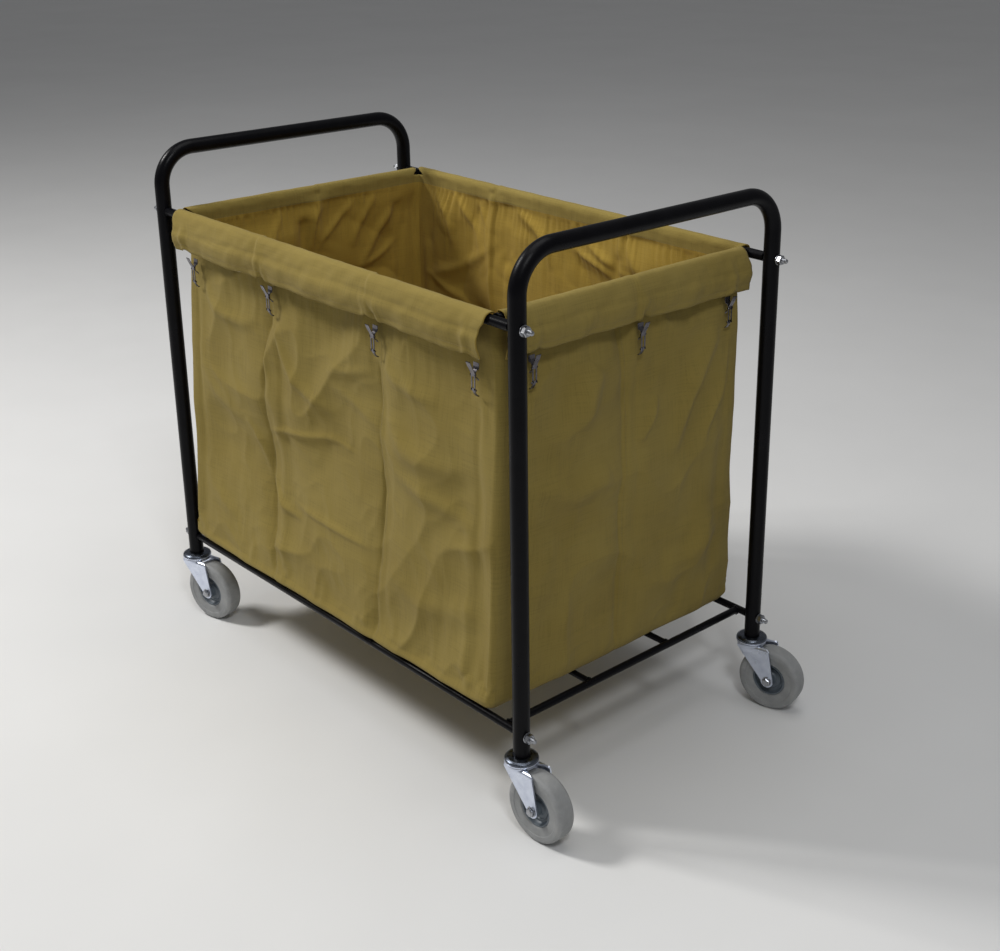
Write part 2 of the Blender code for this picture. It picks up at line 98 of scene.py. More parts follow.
class Shader:
    """A material's node tree, with short calls for the nodes that this script uses."""

    def __init__(self, name):
        self.matter = bpy.data.materials.new(name)
        self.matter.use_nodes = True
        self.tree = self.matter.node_tree
        self.surface = self.tree.nodes["Principled BSDF"]
        self.place = self.node("ShaderNodeTexCoord").outputs["Object"]

    def node(self, kind, **settings):
        made = self.tree.nodes.new(kind)
        for key, value in settings.items():
            setattr(made, key, value)
        return made

    def link(self, source, target):
        self.tree.links.new(source, target)

    def socket(self, name, value):
        self.surface.inputs[name].default_value = value

    def noise(self, scale, detail=3.0, roughness=0.55, place=None, stretch=None):
        texture = self.node("ShaderNodeTexNoise")
        texture.inputs["Scale"].default_value = scale
        texture.inputs["Detail"].default_value = detail
        texture.inputs["Roughness"].default_value = roughness
        where = place or self.place
        if stretch:
            mapping = self.node("ShaderNodeMapping")
            mapping.inputs["Scale"].default_value = stretch
            self.link(where, mapping.inputs["Vector"])
            where = mapping.outputs["Vector"]
        self.link(where, texture.inputs["Vector"])
        return texture.outputs["Fac"]

    def ramp(self, source, stops):
        """Colours or greys along a 0 to 1 value: stops is a list of (place, colour)."""
        made = self.node("ShaderNodeValToRGB")
        points = made.color_ramp.elements
        while len(points) < len(stops):
            points.new(0.5)
        for point, (place, colour) in zip(points, stops):
            point.position = place
            point.color = (*colour, 1.0) if hasattr(colour, "__len__") else (colour, colour, colour, 1.0)
        self.link(source, made.inputs["Fac"])
        return made.outputs["Color"]

    def math(self, operation, first, second=0.0, third=0.0):
        made = self.node("ShaderNodeMath", operation=operation)
        for port, value in zip(made.inputs, (first, second, third)):
            if isinstance(value, bpy.types.NodeSocket):
                self.link(value, port)
            else:
                port.default_value = value
        return made.outputs[0]

    def mix(self, share, first, second, blend):
        made = self.node("ShaderNodeMix", data_type="RGBA", blend_type=blend)
        made.inputs[0].default_value = share
        self.link(first, made.inputs[6])
        self.link(second, made.inputs[7])
        return made.outputs[2]

    def bump(self, height, distance, strength=1.0, before=None):
        made = self.node("ShaderNodeBump")
        made.inputs["Distance"].default_value = distance
        made.inputs["Strength"].default_value = strength
        self.link(height, made.inputs["Height"])
        if before:
            self.link(before, made.inputs["Normal"])
        return made.outputs["Normal"]

    def finish(self, colour=None, roughness=None, normal=None):
        for name, value in (("Base Color", colour), ("Roughness", roughness), ("Normal", normal)):
            if value:
                self.link(value, self.surface.inputs[name])
        return self.matter


def powder_coat():
    """Black powder coat: a faint orange peel, and small dull rubs."""
    s = Shader("black_coat")
    rubs = s.noise(38.0, detail=6.0, roughness=0.7)
    coat, dusty, rubbed = (0.0022, 0.0021, 0.0030), (0.0038, 0.0037, 0.0050), (0.009, 0.009, 0.011)
    colour = s.ramp(rubs, [(0.35, coat), (0.72, dusty), (0.80, rubbed)])
    rough = s.ramp(s.noise(16.0, detail=5.0), [(0.3, 0.24), (0.75, 0.40)])
    s.socket("Specular IOR Level", 0.11)
    return s.finish(colour, rough, s.bump(s.noise(420.0, detail=2.0), 0.0004, 0.35))


def zinc_plate(name, dark, light, rough_low, rough_high):
    """Zinc or nickel plate: cloudy patches, fine drawn scratches, soft reflections."""
    s = Shader(name)
    clouds = s.noise(55.0, detail=5.0, roughness=0.6)
    colour = s.ramp(clouds, [(0.30, dark), (0.70, light)])
    scratches = s.noise(900.0, detail=2.0, stretch=(1.0, 1.0, 0.06))
    rough = s.ramp(s.noise(140.0, detail=4.0), [(0.3, rough_low), (0.7, rough_high)])
    s.socket("Metallic", 1.0)
    return s.finish(colour, rough, s.bump(scratches, 0.0002, 0.35))


def grey_rubber():
    """Light grey rubber, a little dusty, with fine moulding grain."""
    s = Shader("tyre_grey")
    dust = s.noise(42.0, detail=6.0, roughness=0.65)
    clean, dull, dusty = (0.245, 0.25, 0.25), (0.30, 0.305, 0.305), (0.37, 0.37, 0.36)
    colour = s.ramp(dust, [(0.28, clean), (0.55, dull), (0.8, dusty)])
    rough = s.ramp(s.noise(90.0, detail=4.0), [(0.3, 0.58), (0.7, 0.78)])
    grain = s.bump(s.noise(1500.0, detail=2.0), 0.0003, 0.4)
    return s.finish(colour, rough, s.bump(s.noise(120.0, detail=3.0), 0.0006, 0.3, grain))


def moulded_plastic(name, dark, light, roughness):
    """Moulded plastic with flow marks and a fine grain."""
    s = Shader(name)
    colour = s.ramp(s.noise(65.0, detail=5.0), [(0.3, dark), (0.75, light)])
    rough = s.ramp(s.noise(160.0, detail=3.0), [(0.3, roughness - 0.07), (0.7, roughness + 0.08)])
    return s.finish(colour, rough, s.bump(s.noise(1100.0, detail=2.0), 0.0002, 0.3))


# How a sewn canvas piece knows which way its threads run: metres along the seam and metres up the cloth
THREAD_MAP = "threads"
WEAVE_PITCH = 0.0011


def canvas(name, deep, mid, pale):
    """Plain-weave cotton canvas: two sets of threads, slubs, and uneven dye."""
    s = Shader(name)
    threads = s.node("ShaderNodeAttribute", attribute_name=THREAD_MAP).outputs["Vector"]
    parts = s.node("ShaderNodeSeparateXYZ")
    s.link(threads, parts.inputs[0])
    turns = [s.math("MULTIPLY", parts.outputs[axis], 2 * math.pi / WEAVE_PITCH) for axis in "XY"]
    weave = s.math("MULTIPLY", s.math("SINE", turns[0]), s.math("SINE", turns[1]))
    slubs_across = s.noise(1.0, detail=3.0, place=threads, stretch=(14.0, 520.0, 1.0))
    slubs_along = s.noise(1.0, detail=3.0, place=threads, stretch=(520.0, 14.0, 1.0))
    slubs = s.math("ADD", slubs_across, slubs_along)
    dye = s.noise(5.5, detail=6.0, roughness=0.62)
    colour = s.ramp(dye, [(0.25, deep), (0.5, mid), (0.78, pale)])
    fleck = s.ramp(slubs, [(0.0, 0.0), (0.82, 0.36), (1.15, 0.62)])
    colour = s.mix(0.22, colour, fleck, "OVERLAY")
    cells = s.math("MULTIPLY_ADD", weave, 0.5, 0.5)
    shade = s.ramp(cells, [(0.0, 0.80), (1.0, 1.0)])
    colour = s.mix(0.55, colour, shade, "MULTIPLY")
    rough = s.ramp(slubs, [(0.6, 0.86), (1.2, 0.97)])
    s.socket("Specular IOR Level", 0.15)
    s.socket("Sheen Weight", 0.06)
    s.socket("Sheen Roughness", 0.5)
    body = s.bump(slubs, 0.0006, 0.35)
    return s.finish(colour, rough, s.bump(cells, 0.0003, 0.4, body))


def thread_material():
    """Sewing thread with a twist."""
    s = Shader("thread")
    colour = s.ramp(s.noise(300.0, detail=2.0), [(0.3, (0.20, 0.15, 0.055)), (0.7, (0.28, 0.22, 0.09))])
    rough = s.ramp(s.noise(800.0), [(0.3, 0.7), (0.7, 0.9)])
    return s.finish(colour, rough, s.bump(s.noise(2500.0), 0.0002, 0.4))


def floor_material():
    s = Shader("pale_floor")
    colour = s.ramp(s.noise(1.6, detail=4.0), [(0.3, (0.78, 0.78, 0.775)), (0.7, (0.81, 0.81, 0.805))])
    return s.finish(colour, s.ramp(s.noise(7.0, detail=3.0), [(0.3, 0.55), (0.7, 0.65)]))


BLACK = powder_coat()
ZINC = zinc_plate("zinc_fork", (0.60, 0.65, 0.78), (0.78, 0.83, 0.95), 0.26, 0.40)
BOLT = zinc_plate("zinc_bolt", (0.30, 0.31, 0.33), (0.48, 0.49, 0.52), 0.24, 0.38)
CUP = zinc_plate("dark_zinc", (0.07, 0.08, 0.10), (0.16, 0.18, 0.22), 0.22, 0.36)
NICKEL = zinc_plate("nickel_clip", (0.075, 0.07, 0.075), (0.20, 0.19, 0.21), 0.20, 0.34)
RUBBER = grey_rubber()
HUB = moulded_plastic("hub_grey", (0.085, 0.105, 0.125), (0.135, 0.16, 0.185), 0.45)
PLUG = moulded_plastic("black_plug", (0.012, 0.012, 0.013), (0.022, 0.022, 0.024), 0.5)
CANVAS = canvas("canvas", (0.235, 0.172, 0.041), (0.27, 0.202, 0.053), (0.30, 0.228, 0.064))
# The same canvas for the bag's inner side, painted more orange and brighter than the outer side: painted
# bounce light, standing in for light thrown round inside the bag
CANVAS_PAINTED_BOUNCE = canvas("canvas_inside_painted_bounce", (0.33, 0.216, 0.036), (0.375, 0.251, 0.045), (0.41, 0.279, 0.055))
THREAD = thread_material()


# --- Meshes ---


def in_scene(name, data):
    """A new object in the scene."""
    item = bpy.data.objects.new(name, data)
    bpy.context.scene.collection.objects.link(item)
    return item


def add_piece(name, mesh, material, body, replaced=(), where=None, angle=35.0):
    """A finished piece, in place, on its body."""
    if not mesh.materials:
        mesh.materials.append(material)
    mesh.shade_smooth()
    mesh.set_sharp_from_angle(angle=math.radians(angle))
    piece = in_scene(name, mesh)
    piece.matrix_world = Matrix.Translation(LEGS_MIDDLE) @ (where or Matrix.Identity(4))
    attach(piece, body)
    if replaced:
        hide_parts(*replaced)
    return piece


def mesh_from(name, points, faces):
    mesh = bpy.data.meshes.new(name)
    mesh.from_pydata([tuple(p) for p in points], [], faces)
    mesh.update()
    return mesh


def arc(centre, radius, start, end, steps):
    """Points on an arc in a plane, with angles in degrees."""
    angles = [math.radians(start + (end - start) * i / steps) for i in range(steps + 1)]
    return [(centre[0] + radius * math.cos(a), centre[1] + radius * math.sin(a)) for a in angles]


def eased(before, here, after, radius, steps):
    """Points that round off one corner of a line. The radius shrinks on short sides."""
    here = Vector(here)
    before = Vector(before) - here
    after = Vector(after) - here
    reach = min(radius, before.length * 0.45, after.length * 0.45)
    start = here + before.normalized() * reach
    end = here + after.normalized() * reach
    shares = [k / steps for k in range(steps + 1)]
    return [tuple(start * (1 - t) ** 2 + here * 2 * t * (1 - t) + end * t**2) for t in shares]


def rounded(corners, radius, steps=4):
    """A closed outline with each corner cut back and rounded."""
    around = corners[-1:] + corners + corners[:1]
    return [point for trio in zip(around, around[1:], around[2:]) for point in eased(*trio, radius, steps)]


def circle_into(shape, radius, height, steps, start=0.0):
    """A ring of vertices about Z."""
    angles = [start + 2 * math.pi * k / steps for k in range(steps)]
    return [shape.verts.new((radius * math.cos(a), radius * math.sin(a), height)) for a in angles]


def bridge(shape, rings, closed):
    """Faces between neighbouring rings of vertices. A closed run's ends are joined. An open one's are capped.

    An axis point is one vertex that stands for a whole ring, so a face there has fewer corners.
    """
    for first, second in zip(rings, rings[1:] + rings[:1] if closed else rings[1:]):
        for k in range(len(first)):
            j = (k + 1) % len(first)
            corners = list(dict.fromkeys((first[k], first[j], second[j], second[k])))
            if len(corners) > 2:
                shape.faces.new(corners)
    if not closed:
        shape.faces.new(list(reversed(rings[0])))
        shape.faces.new(rings[-1])


def lathe_into(shape, outline, steps):
    """A closed (radius, height) outline turned about Z. A run along the axis is left out."""
    rings = []
    for radius, height in outline:
        if radius < 1e-6:
            rings.append([shape.verts.new((0.0, 0.0, height))] * steps)
        else:
            rings.append(circle_into(shape, radius, height, steps))
    bridge(shape, rings, True)


def lathe(name, outline, steps):
    shape = bmesh.new()
    lathe_into(shape, outline, steps)
    return mesh_of(shape, name)


def mesh_of(shape, name):
    bmesh.ops.recalc_face_normals(shape, faces=shape.faces)
    mesh = bpy.data.meshes.new(name)
    shape.to_mesh(mesh)
    shape.free()
    return mesh


def tube_mesh(name, path, radius, wall=0.0, sides=28):
    """A round tube along a path of points, with a real wall if one is given."""
    curve = bpy.data.curves.new(name, "CURVE")
    curve.dimensions = "3D"
    curve.bevel_depth = radius
    curve.bevel_resolution = (sides - 4) // 2
    curve.use_fill_caps = not wall
    line = curve.splines.new("POLY")
    line.points.add(len(path) - 1)
    for point, place in zip(line.points, path):
        point.co = (*place, 1.0)
    carrier = in_scene(name, curve)
    if wall:
        shell = carrier.modifiers.new("wall", "SOLIDIFY")
        shell.thickness = wall
        shell.offset = -1.0
    graph = bpy.context.evaluated_depsgraph_get()
    mesh = bpy.data.meshes.new_from_object(carrier.evaluated_get(graph))
    bpy.data.objects.remove(carrier)
    shape = bmesh.new()
    shape.from_mesh(mesh)
    bmesh.ops.remove_doubles(shape, verts=shape.verts, dist=1e-6)
    return mesh_of(shape, name)


# --- Frame ---


def make_end_frame(end):
    """One bent tube: a leg, the push bar and the other leg."""
    node = f"end_frame_{end}"
    low, high = box_of(node)
    radius = (high.x - low.x) / 2
    x = (low.x + high.x) / 2
    leg_y = high.y - radius
    spring = high.z - radius - BEND_RADIUS
    inner = leg_y - BEND_RADIUS
    path = [(leg_y, low.z), (leg_y, (low.z + spring) / 2)]
    path += arc((inner, spring), BEND_RADIUS, 0, 90, 16)
    path += [(0.0, high.z - radius)]
    path += arc((-inner, spring), BEND_RADIUS, 90, 180, 16)
    path += [(-leg_y, (low.z + spring) / 2), (-leg_y, low.z)]
    mesh = tube_mesh(f"bent_tube_{end}", [(x, y, z) for y, z in path], radius, TUBE_WALL)
    add_piece(f"bent_tube_{end}", mesh, BLACK, "cart", [node])


def make_rail(node):
    """A straight rail or rod, with a small chamfer at each end."""
    low, high = box_of(node)
    span = high - low
    centre = (low + high) / 2
    along_x = span.x > span.y
    length = max(span.x, span.y)
    radius = span.z / 2
    half = length / 2
    outline = rounded([(0.0, half), (radius, half), (radius, -half), (0.0, -half)], 0.0006, 2)
    outline = [(0.0, half)] + [point for point in outline if point[0] > 1e-6] + [(0.0, -half)]
    mesh = lathe(f"{node}_tube", outline, 28)
    turn = Matrix.Rotation(math.pi / 2, 4, "Y" if along_x else "X")
    add_piece(f"{node}_tube", mesh, BLACK, "cart", [node], Matrix.Translation(centre) @ turn)


WELD_BITE = 0.001  # how far a bead goes into the tube that it is on
RAIL_WELD = 0.0016  # how far a bead stands out from the tube that it is on
ROD_WELD = 0.0014


def make_weld(name, centre, axis_turn, tube_radius, proud):
    """A bead of weld round the end of a rail: a ring that is a little uneven."""
    inner = tube_radius - WELD_BITE
    outer = tube_radius + proud
    shape = bmesh.new()
    steps, around = 40, 8
    rings = []
    for k in range(steps):
        angle = 2 * math.pi * k / steps
        bulge = 1.0 + 0.16 * math.sin(angle * 9) + 0.08 * math.sin(angle * 5 + 1.0)
        ring = []
        for j in range(around):
            turn = 2 * math.pi * j / around
            radius = inner + (outer - inner) * (0.5 + 0.5 * math.cos(turn)) * bulge
            height = 0.0016 * math.sin(turn) * bulge
            ring.append(shape.verts.new((radius * math.cos(angle), radius * math.sin(angle), height)))
        rings.append(ring)
    bridge(shape, rings, True)
    where = Matrix.Translation(centre) @ axis_turn
    add_piece(name, mesh_of(shape, name), BLACK, "cart", where=where)


def make_welds():
    """Beads where the cross rails meet the side rails and where the rods meet the cross rails."""
    across = Matrix.Rotation(math.pi / 2, 4, "X")
    along = Matrix.Rotation(math.pi / 2, 4, "Y")
    for ring in ("top", "rack"):
        for end in ("front", "rear"):
            rail = f"{ring}_cross_rail_{end}"
            low, high = box_of(rail)
            radius = (high.z - low.z) / 2
            for side, y in (("left", high.y), ("right", low.y)):
                place = (middle(rail).x, y, (low.z + high.z) / 2)
                make_weld(f"{ring}_weld_{end}_{side}", place, across, radius, RAIL_WELD)
    for side in ("left", "right"):
        rod = f"rack_rod_{side}"
        low, high = box_of(rod)
        radius = (high.z - low.z) / 2
        for end, x in (("front", high.x), ("rear", low.x)):
            place = (x, middle(rod).y, (low.z + high.z) / 2)
            make_weld(f"rod_weld_{end}_{side}", place, along, radius, ROD_WELD)


def hexagon_into(shape, radius, low, high):
    """A hexagon nut with its corners turned off at both ends."""
    chamfer = radius * 0.12
    rows = ((radius * 0.88, low), (radius, low + chamfer), (radius, high - chamfer), (radius * 0.88, high))
    bridge(shape, [circle_into(shape, reach, height, 6, math.pi / 6) for reach, height in rows], False)


STUD_RADIUS = 0.0038
THREAD_PITCH = 0.00125


def threaded(radius, low, high, pitch):
    """The outline of a threaded stretch, from the bottom up, with a domed end."""
    turns = int((high - low - radius * 0.4) / pitch)
    points = [(0.0, low), (radius * 0.88, low)]
    for k in range(turns):
        points += [(radius, low + pitch * (k + 0.4)), (radius * 0.90, low + pitch * (k + 0.95))]
    points += [(radius * 0.86, high - radius * 0.3), (radius * 0.5, high - radius * 0.08), (0.0, high)]
    return points


def make_bolt(node):
    """Stud, nut and washer. Its own Z axis points out of the leg, and its origin is where the washer sits."""
    low, high = box_of(node)
    out = 1.0 if middle(node).x > 0 else -1.0
    leg_low, leg_high = box_of("end_frame_front")
    face = LEG_X + (leg_high.x - leg_low.x) / 2 + 0.0003
    reach = max(abs(low.x), abs(high.x)) - face
    tail = min(abs(low.x), abs(high.x)) - face
    shape = bmesh.new()
    washer = [(0.0036, 0.0012), (0.0080, 0.0012), (0.0080, 0.0), (0.0036, 0.0)]
    lathe_into(shape, rounded(washer, 0.0003, 2), 32)
    hexagon_into(shape, 0.0076, 0.0012, 0.0086)
    lathe_into(shape, threaded(STUD_RADIUS, tail, reach, THREAD_PITCH), 20)
    centre = middle(node)
    turn = Matrix.Rotation(out * math.pi / 2, 4, "Y")
    where = Matrix.Translation((out * face, centre.y, centre.z)) @ turn
    add_piece(f"{node}_set", mesh_of(shape, f"{node}_set"), BOLT, "cart", [node], where, 30.0)


# --- Casters ---

FORK_PLATE = 0.0027
FORK_OUT = 0.0186  # from the wheel's middle plane to the middle of a cheek
FORK_BEND = 0.0042
EYE_RADIUS = 0.0105
CROWN_BACK = -0.0165
CROWN_FRONT = 0.019
EAR_FRONT = 0.0395


def caster_place(corner):
    """(matrix, trail, wheel height): the caster's frame on the floor under its leg, +X towards its wheel."""
    pivot = JOINTS[f"swivel_{corner}"]["pos_m"]
    hub = JOINTS[f"roll_{corner}"]["pos_m"]
    trail = Vector((hub[0] - pivot[0], hub[1] - pivot[1], 0.0))
    turn = Matrix.Rotation(math.atan2(trail.y, trail.x), 4, "Z")
    place = Vector((pivot[0], pivot[1], 0.0)) - LEGS_MIDDLE
    return Matrix.Translation(place) @ turn, trail.length, hub[2]


def smoothstep(value, low, high):
    share = min(max((value - low) / (high - low), 0.0), 1.0)
    return share * share * (3 - 2 * share)


def fork_rows(trail, eye_z, top_z):
    """The pressing unrolled: (y, z, back x, front x) from the foot of one cheek to the middle of the top."""
    rows = []
    bend_z = top_z - FORK_BEND
    for k in range(9):
        angle = math.pi / 2 * k / 8
        drop = EYE_RADIUS * math.cos(angle)
        half = max(EYE_RADIUS * math.sin(angle), 0.0008)
        rows.append((FORK_OUT, eye_z - drop, trail - half, trail + half))
    for k in range(1, 21):
        share = k / 20
        back = trail - EYE_RADIUS + (CROWN_BACK - trail + EYE_RADIUS) * share
        front = trail + EYE_RADIUS + (EAR_FRONT - trail - EYE_RADIUS) * share
        rows.append((FORK_OUT, eye_z + (bend_z - eye_z) * share, back, front))
    for y, z in arc((FORK_OUT - FORK_BEND, bend_z), FORK_BEND, 0, 90, 6)[1:]:
        share = smoothstep(FORK_OUT - y, 0.0, FORK_BEND + 0.003)
        rows.append((y, z, CROWN_BACK, EAR_FRONT + (CROWN_FRONT - EAR_FRONT) * share * 0.8))
    flat = FORK_OUT - FORK_BEND
    for k in range(1, 5):
        share = k / 4
        front = CROWN_FRONT + (EAR_FRONT - CROWN_FRONT) * 0.2 * (1 - share)
        rows.append((flat * (1 - share), top_z, CROWN_BACK, front))
    return rows


def make_fork(corner):
    where, trail, eye_z = caster_place(corner)
    node = f"caster_fork_{corner}"
    top_z = box_of(node)[1].z - 0.0017
    half_rows = fork_rows(trail, eye_z, top_z)
    rows = half_rows + [(-y, z, back, front) for y, z, back, front in reversed(half_rows[:-1])]
    columns = 20
    shape = bmesh.new()
    grid = []
    for y, z, back, front in rows:
        line = []
        for k in range(columns + 1):
            x = back + (front - back) * k / columns
            emboss = 0.0011 * oval(x - 0.0095, z - (top_z - 0.0125), 0.0175, 0.0042)
            push = math.copysign(emboss, y) if abs(y) > FORK_OUT - 1e-6 else 0.0
            line.append(shape.verts.new((x, y + push, z)))
        grid.append(line)
    for first, second in zip(grid, grid[1:]):
        for k in range(columns):
            shape.faces.new((first[k], first[k + 1], second[k + 1], second[k]))
    body = f"fork_{corner}"
    fork = add_piece(f"{node}_pressing", mesh_of(shape, node), ZINC, body, [node], where, 50.0)
    plate = fork.modifiers.new("plate", "SOLIDIFY")
    plate.thickness = FORK_PLATE
    plate.offset = 0.0
    edge = fork.modifiers.new("edge", "BEVEL")
    edge.width = 0.0005
    edge.segments = 2
    edge.angle_limit = math.radians(50)
    disc_low = box_of(node)[1].z - 0.0029
    disc_high = box_of(node)[1].z + 0.0001
    disc = [(0.0060, disc_high), (0.0240, disc_high), (0.0240, disc_low), (0.0060, disc_low)]
    race = lathe("race", rounded(disc, 0.001, 4), 56)
    add_piece(f"caster_race_{corner}", race, ZINC, body, where=where)


def oval(x, z, half_x, half_z):
    """1 on a long oval's raised middle, falling smoothly to 0 at its edge."""
    reach = max(abs(x) - (half_x - half_z), 0.0)
    return 1.0 - smoothstep(math.hypot(reach, z) / half_z, 0.55, 1.0)


def make_head(corner):
    """The swivel's dust cup with its rolled rim, the seal ring, the stem and the rivet."""
    where, _, _ = caster_place(corner)
    node = f"caster_head_{corner}"
    low, high = box_of(node)
    leg_end = box_of("end_frame_front")[0].z
    radius = (high.x - low.x) / 2
    cup_top = leg_end - 0.0003
    cup_low = box_of(f"caster_fork_{corner}")[1].z + 0.0003
    shape = bmesh.new()
    stem = [(0.0, high.z), (0.0042, high.z), (0.0050, high.z - 0.001), (0.0050, low.z + 0.004)]
    stem += [(0.0080, low.z + 0.0028), (0.0074, low.z + 0.0008), (0.0055, low.z), (0.0, low.z)]
    lathe_into(shape, stem, 32)
    cup = [(0.0052, cup_top), (0.0150, cup_top), (0.0205, cup_top - 0.0008)]
    cup += [(radius - 0.0005, cup_top - 0.0030), (radius, cup_top - 0.0048), (radius, cup_low + 0.0008)]
    cup += [(radius - 0.0008, cup_low), (0.0052, cup_low)]
    lathe_into(shape, rounded(cup, 0.0008, 3), 64)
    add_piece(f"{node}_cup", mesh_of(shape, node), CUP, "cart", [node], where, 40.0)
    band_low = cup_low + 0.0012
    band = [(radius + 0.0004, band_low + 0.0022), (radius + 0.0004, band_low), (radius - 0.001, band_low)]
    band += [(radius - 0.001, band_low + 0.0022)]
    mesh = lathe("band", rounded(band, 0.0004, 2), 64)
    add_piece(f"caster_band_{corner}", mesh, ZINC, "cart", where=where)


def wheel_place(corner):
    where, trail, height = caster_place(corner)
    return where @ Matrix.Translation((trail, 0.0, height)) @ Matrix.Rotation(-math.pi / 2, 4, "X")


# Where the tyre's side meets the hub: distance out from the hub, and distance in from the tyre's side
TYRE_BEAD = ((0.004, 0.0016), (0.0016, 0.0022), (0.0002, 0.0036))


def make_wheel(corner):
    """Tyre and hub. Both are turned about the axle."""
    where = wheel_place(corner)
    height = JOINTS[f"roll_{corner}"]["pos_m"][2]
    half = 0.0155  # of the tyre's width
    hub_radius = 0.0275
    shoulder = 0.0065  # the radius between the tread and the tyre's side
    tread = [(height, 0.0), (height, half - shoulder)]
    tread += [(r, h) for h, r in arc((half - shoulder, height - shoulder), shoulder, 90, 0, 8)][1:]
    side = [(height - 0.0115, half - 0.0002), (height - 0.0125, half - 0.0010)]
    side += [(hub_radius + reach, half - inset) for reach, inset in TYRE_BEAD]
    upper = tread + side
    outline = upper + [(r, -h) for r, h in reversed(upper[1:])]
    add_piece(
        f"caster_tyre_{corner}_ring", lathe("tyre", outline, 96), RUBBER, f"wheel_{corner}",
        [f"caster_tyre_{corner}"], where, 30.0,
    )
    boss = 0.0166
    upper = [(0.0043, boss), (0.0085, boss), (0.0092, boss - 0.0008), (0.0100, 0.0078), (0.0120, 0.0058)]
    upper += [(0.0165, 0.0054), (0.0172, 0.0066), (0.0186, 0.0066), (0.0193, 0.0054), (0.0222, 0.0056)]
    upper += [(0.0238, 0.0075), (0.0246, 0.0116), (0.0252, 0.0122)]
    upper += [(hub_radius - 0.0004, 0.0122), (hub_radius, 0.0116)]
    outline = upper + [(r, -h) for r, h in reversed(upper)]
    add_piece(
        f"caster_hub_{corner}_core", lathe("hub", outline, 72), HUB, f"wheel_{corner}",
        [f"caster_hub_{corner}"], where, 30.0,
    )


def make_axle(corner):
    """The axle bolt's hexagon head and nut, each with a washer, and the shank between them."""
    where = wheel_place(corner)
    cheek = FORK_OUT + FORK_PLATE / 2 + 0.0002
    shape = bmesh.new()
    lathe_into(shape, threaded(STUD_RADIUS, -cheek - 0.002, cheek + 0.0058, THREAD_PITCH), 20)
    for side in (-1, 1):
        washer = [(0.0036, 0.0), (0.0082, 0.0), (0.0082, 0.0010), (0.0036, 0.0010)]
        ring = [(r, side * (cheek + h)) for r, h in rounded(washer, 0.0003, 2)]
        lathe_into(shape, ring, 32)
        ends = sorted((side * (cheek + 0.0010), side * (cheek + 0.0048)))
        hexagon_into(shape, 0.0071, *ends)
    cap = ((0.0, 0.0052), (0.0046, 0.0052), (0.0052, 0.0046), (0.0, 0.0046))
    lathe_into(shape, [(r, -cheek - h) for r, h in cap], 24)
    node = f"caster_axle_{corner}"
    add_piece(f"{node}_set", mesh_of(shape, node), BOLT, f"fork_{corner}", [node], where, 30.0)


def make_casters():
    for corner in CORNERS:
        make_head(corner)
        make_fork(corner)
        make_wheel(corner)
        make_axle(corner)
        plug = frame["nodes"][f"leg_insert_{corner}"]
        plug.data.materials.clear()
        plug.data.materials.append(PLUG)


for end_name in ("front", "rear"):
    make_end_frame(end_name)
for rail_node in nodes_with("_rail_", "_rod_"):
    make_rail(rail_node)
make_welds()
for bolt_node in nodes_with("_bolt_"):
    make_bolt(bolt_node)
make_casters()


# --- Bag ---

CLOTH = 0.0012
BAG_CORNER = 0.012
CORNER_CELLS = 4
CORNER_REACH = 0.090
CORNER_FREEDOM = 0.35
CLIP_CALM = 0.014
SIDES = ("rear", "right", "front", "left")  # the order of the columns, seen from above against the clock
CELLS = {"rear": 46, "right": 76, "front": 46, "left": 76}
WALL_CELLS = 56
FINER = 3  # how many cells one simulated cell becomes
HANG_FRAMES = 40
HANG_CAP = 0.013  # how far the hanging cloth may leave its cut shape
CLOTH_SETTINGS = {
    "quality": 6,
    "mass": 0.3,
    "tension_stiffness": 25.0,
    "compression_stiffness": 25.0,
    "shear_stiffness": 10.0,
    "bending_stiffness": 0.4,
    "air_damping": 3.0,
    "vertex_group_mass": "pins",
    "vertex_group_shrink": "slack",
    "shrink_min": -0.003,
    "shrink_max": -0.050,
    "use_pressure": True,
    "uniform_pressure_force": 0.02,
}
# The wall before it hangs: height, reach to the front, reach to the rear, half width
WALL_SHAPE = (
    (0.1632, 0.3800, 0.4220, 0.2540),
    (0.1680, 0.3855, 0.4275, 0.2595),
    (0.1780, 0.3880, 0.4295, 0.2615),
    (0.3080, 0.3920, 0.4230, 0.2570),
    (0.4580, 0.3970, 0.4150, 0.2510),
    (0.6080, 0.4010, 0.4070, 0.2450),
    (0.6980, 0.4010, 0.4010, 0.2425),
    (0.7300, 0.3915, 0.3915, 0.2425),
    (TOP_RAIL_Z, 0.3895, 0.3895, 0.2430),
)
FLOOR_Z = WALL_SHAPE[0][0]
RIM_SEAM_Z = TOP_RAIL_Z - 0.0170
CLIP_JAW_Z = 0.655
# Over a rail and down the flap: distance outwards from the rail's centre line, and height above it
FLAP_SHAPE = (
    (-0.0105, 0.0000), (-0.0096, 0.0052), (-0.0060, 0.0093), (0.0000, 0.0107), (0.0060, 0.0090),
    (0.0104, 0.0042), (0.0140, -0.0040), (0.0180, -0.0145), (0.0210, -0.0245), (0.0204, -0.0335),
    (0.0180, -0.0435), (0.0154, -0.0530),
)
FLAP_STEP = 0.0034
FLOOR_RINGS = 14
FLAP_LINE = {"rear": TOP_CROSS_X, "right": LEG_Y, "front": TOP_CROSS_X, "left": LEG_Y}
# How far a flap's ends are from the middle of its side, over the rail and where it hangs
FLAP_ENDS = {
    "rear": (0.240, 0.243), "right": (0.397, 0.390), "front": (0.240, 0.243), "left": (0.397, 0.390),
}
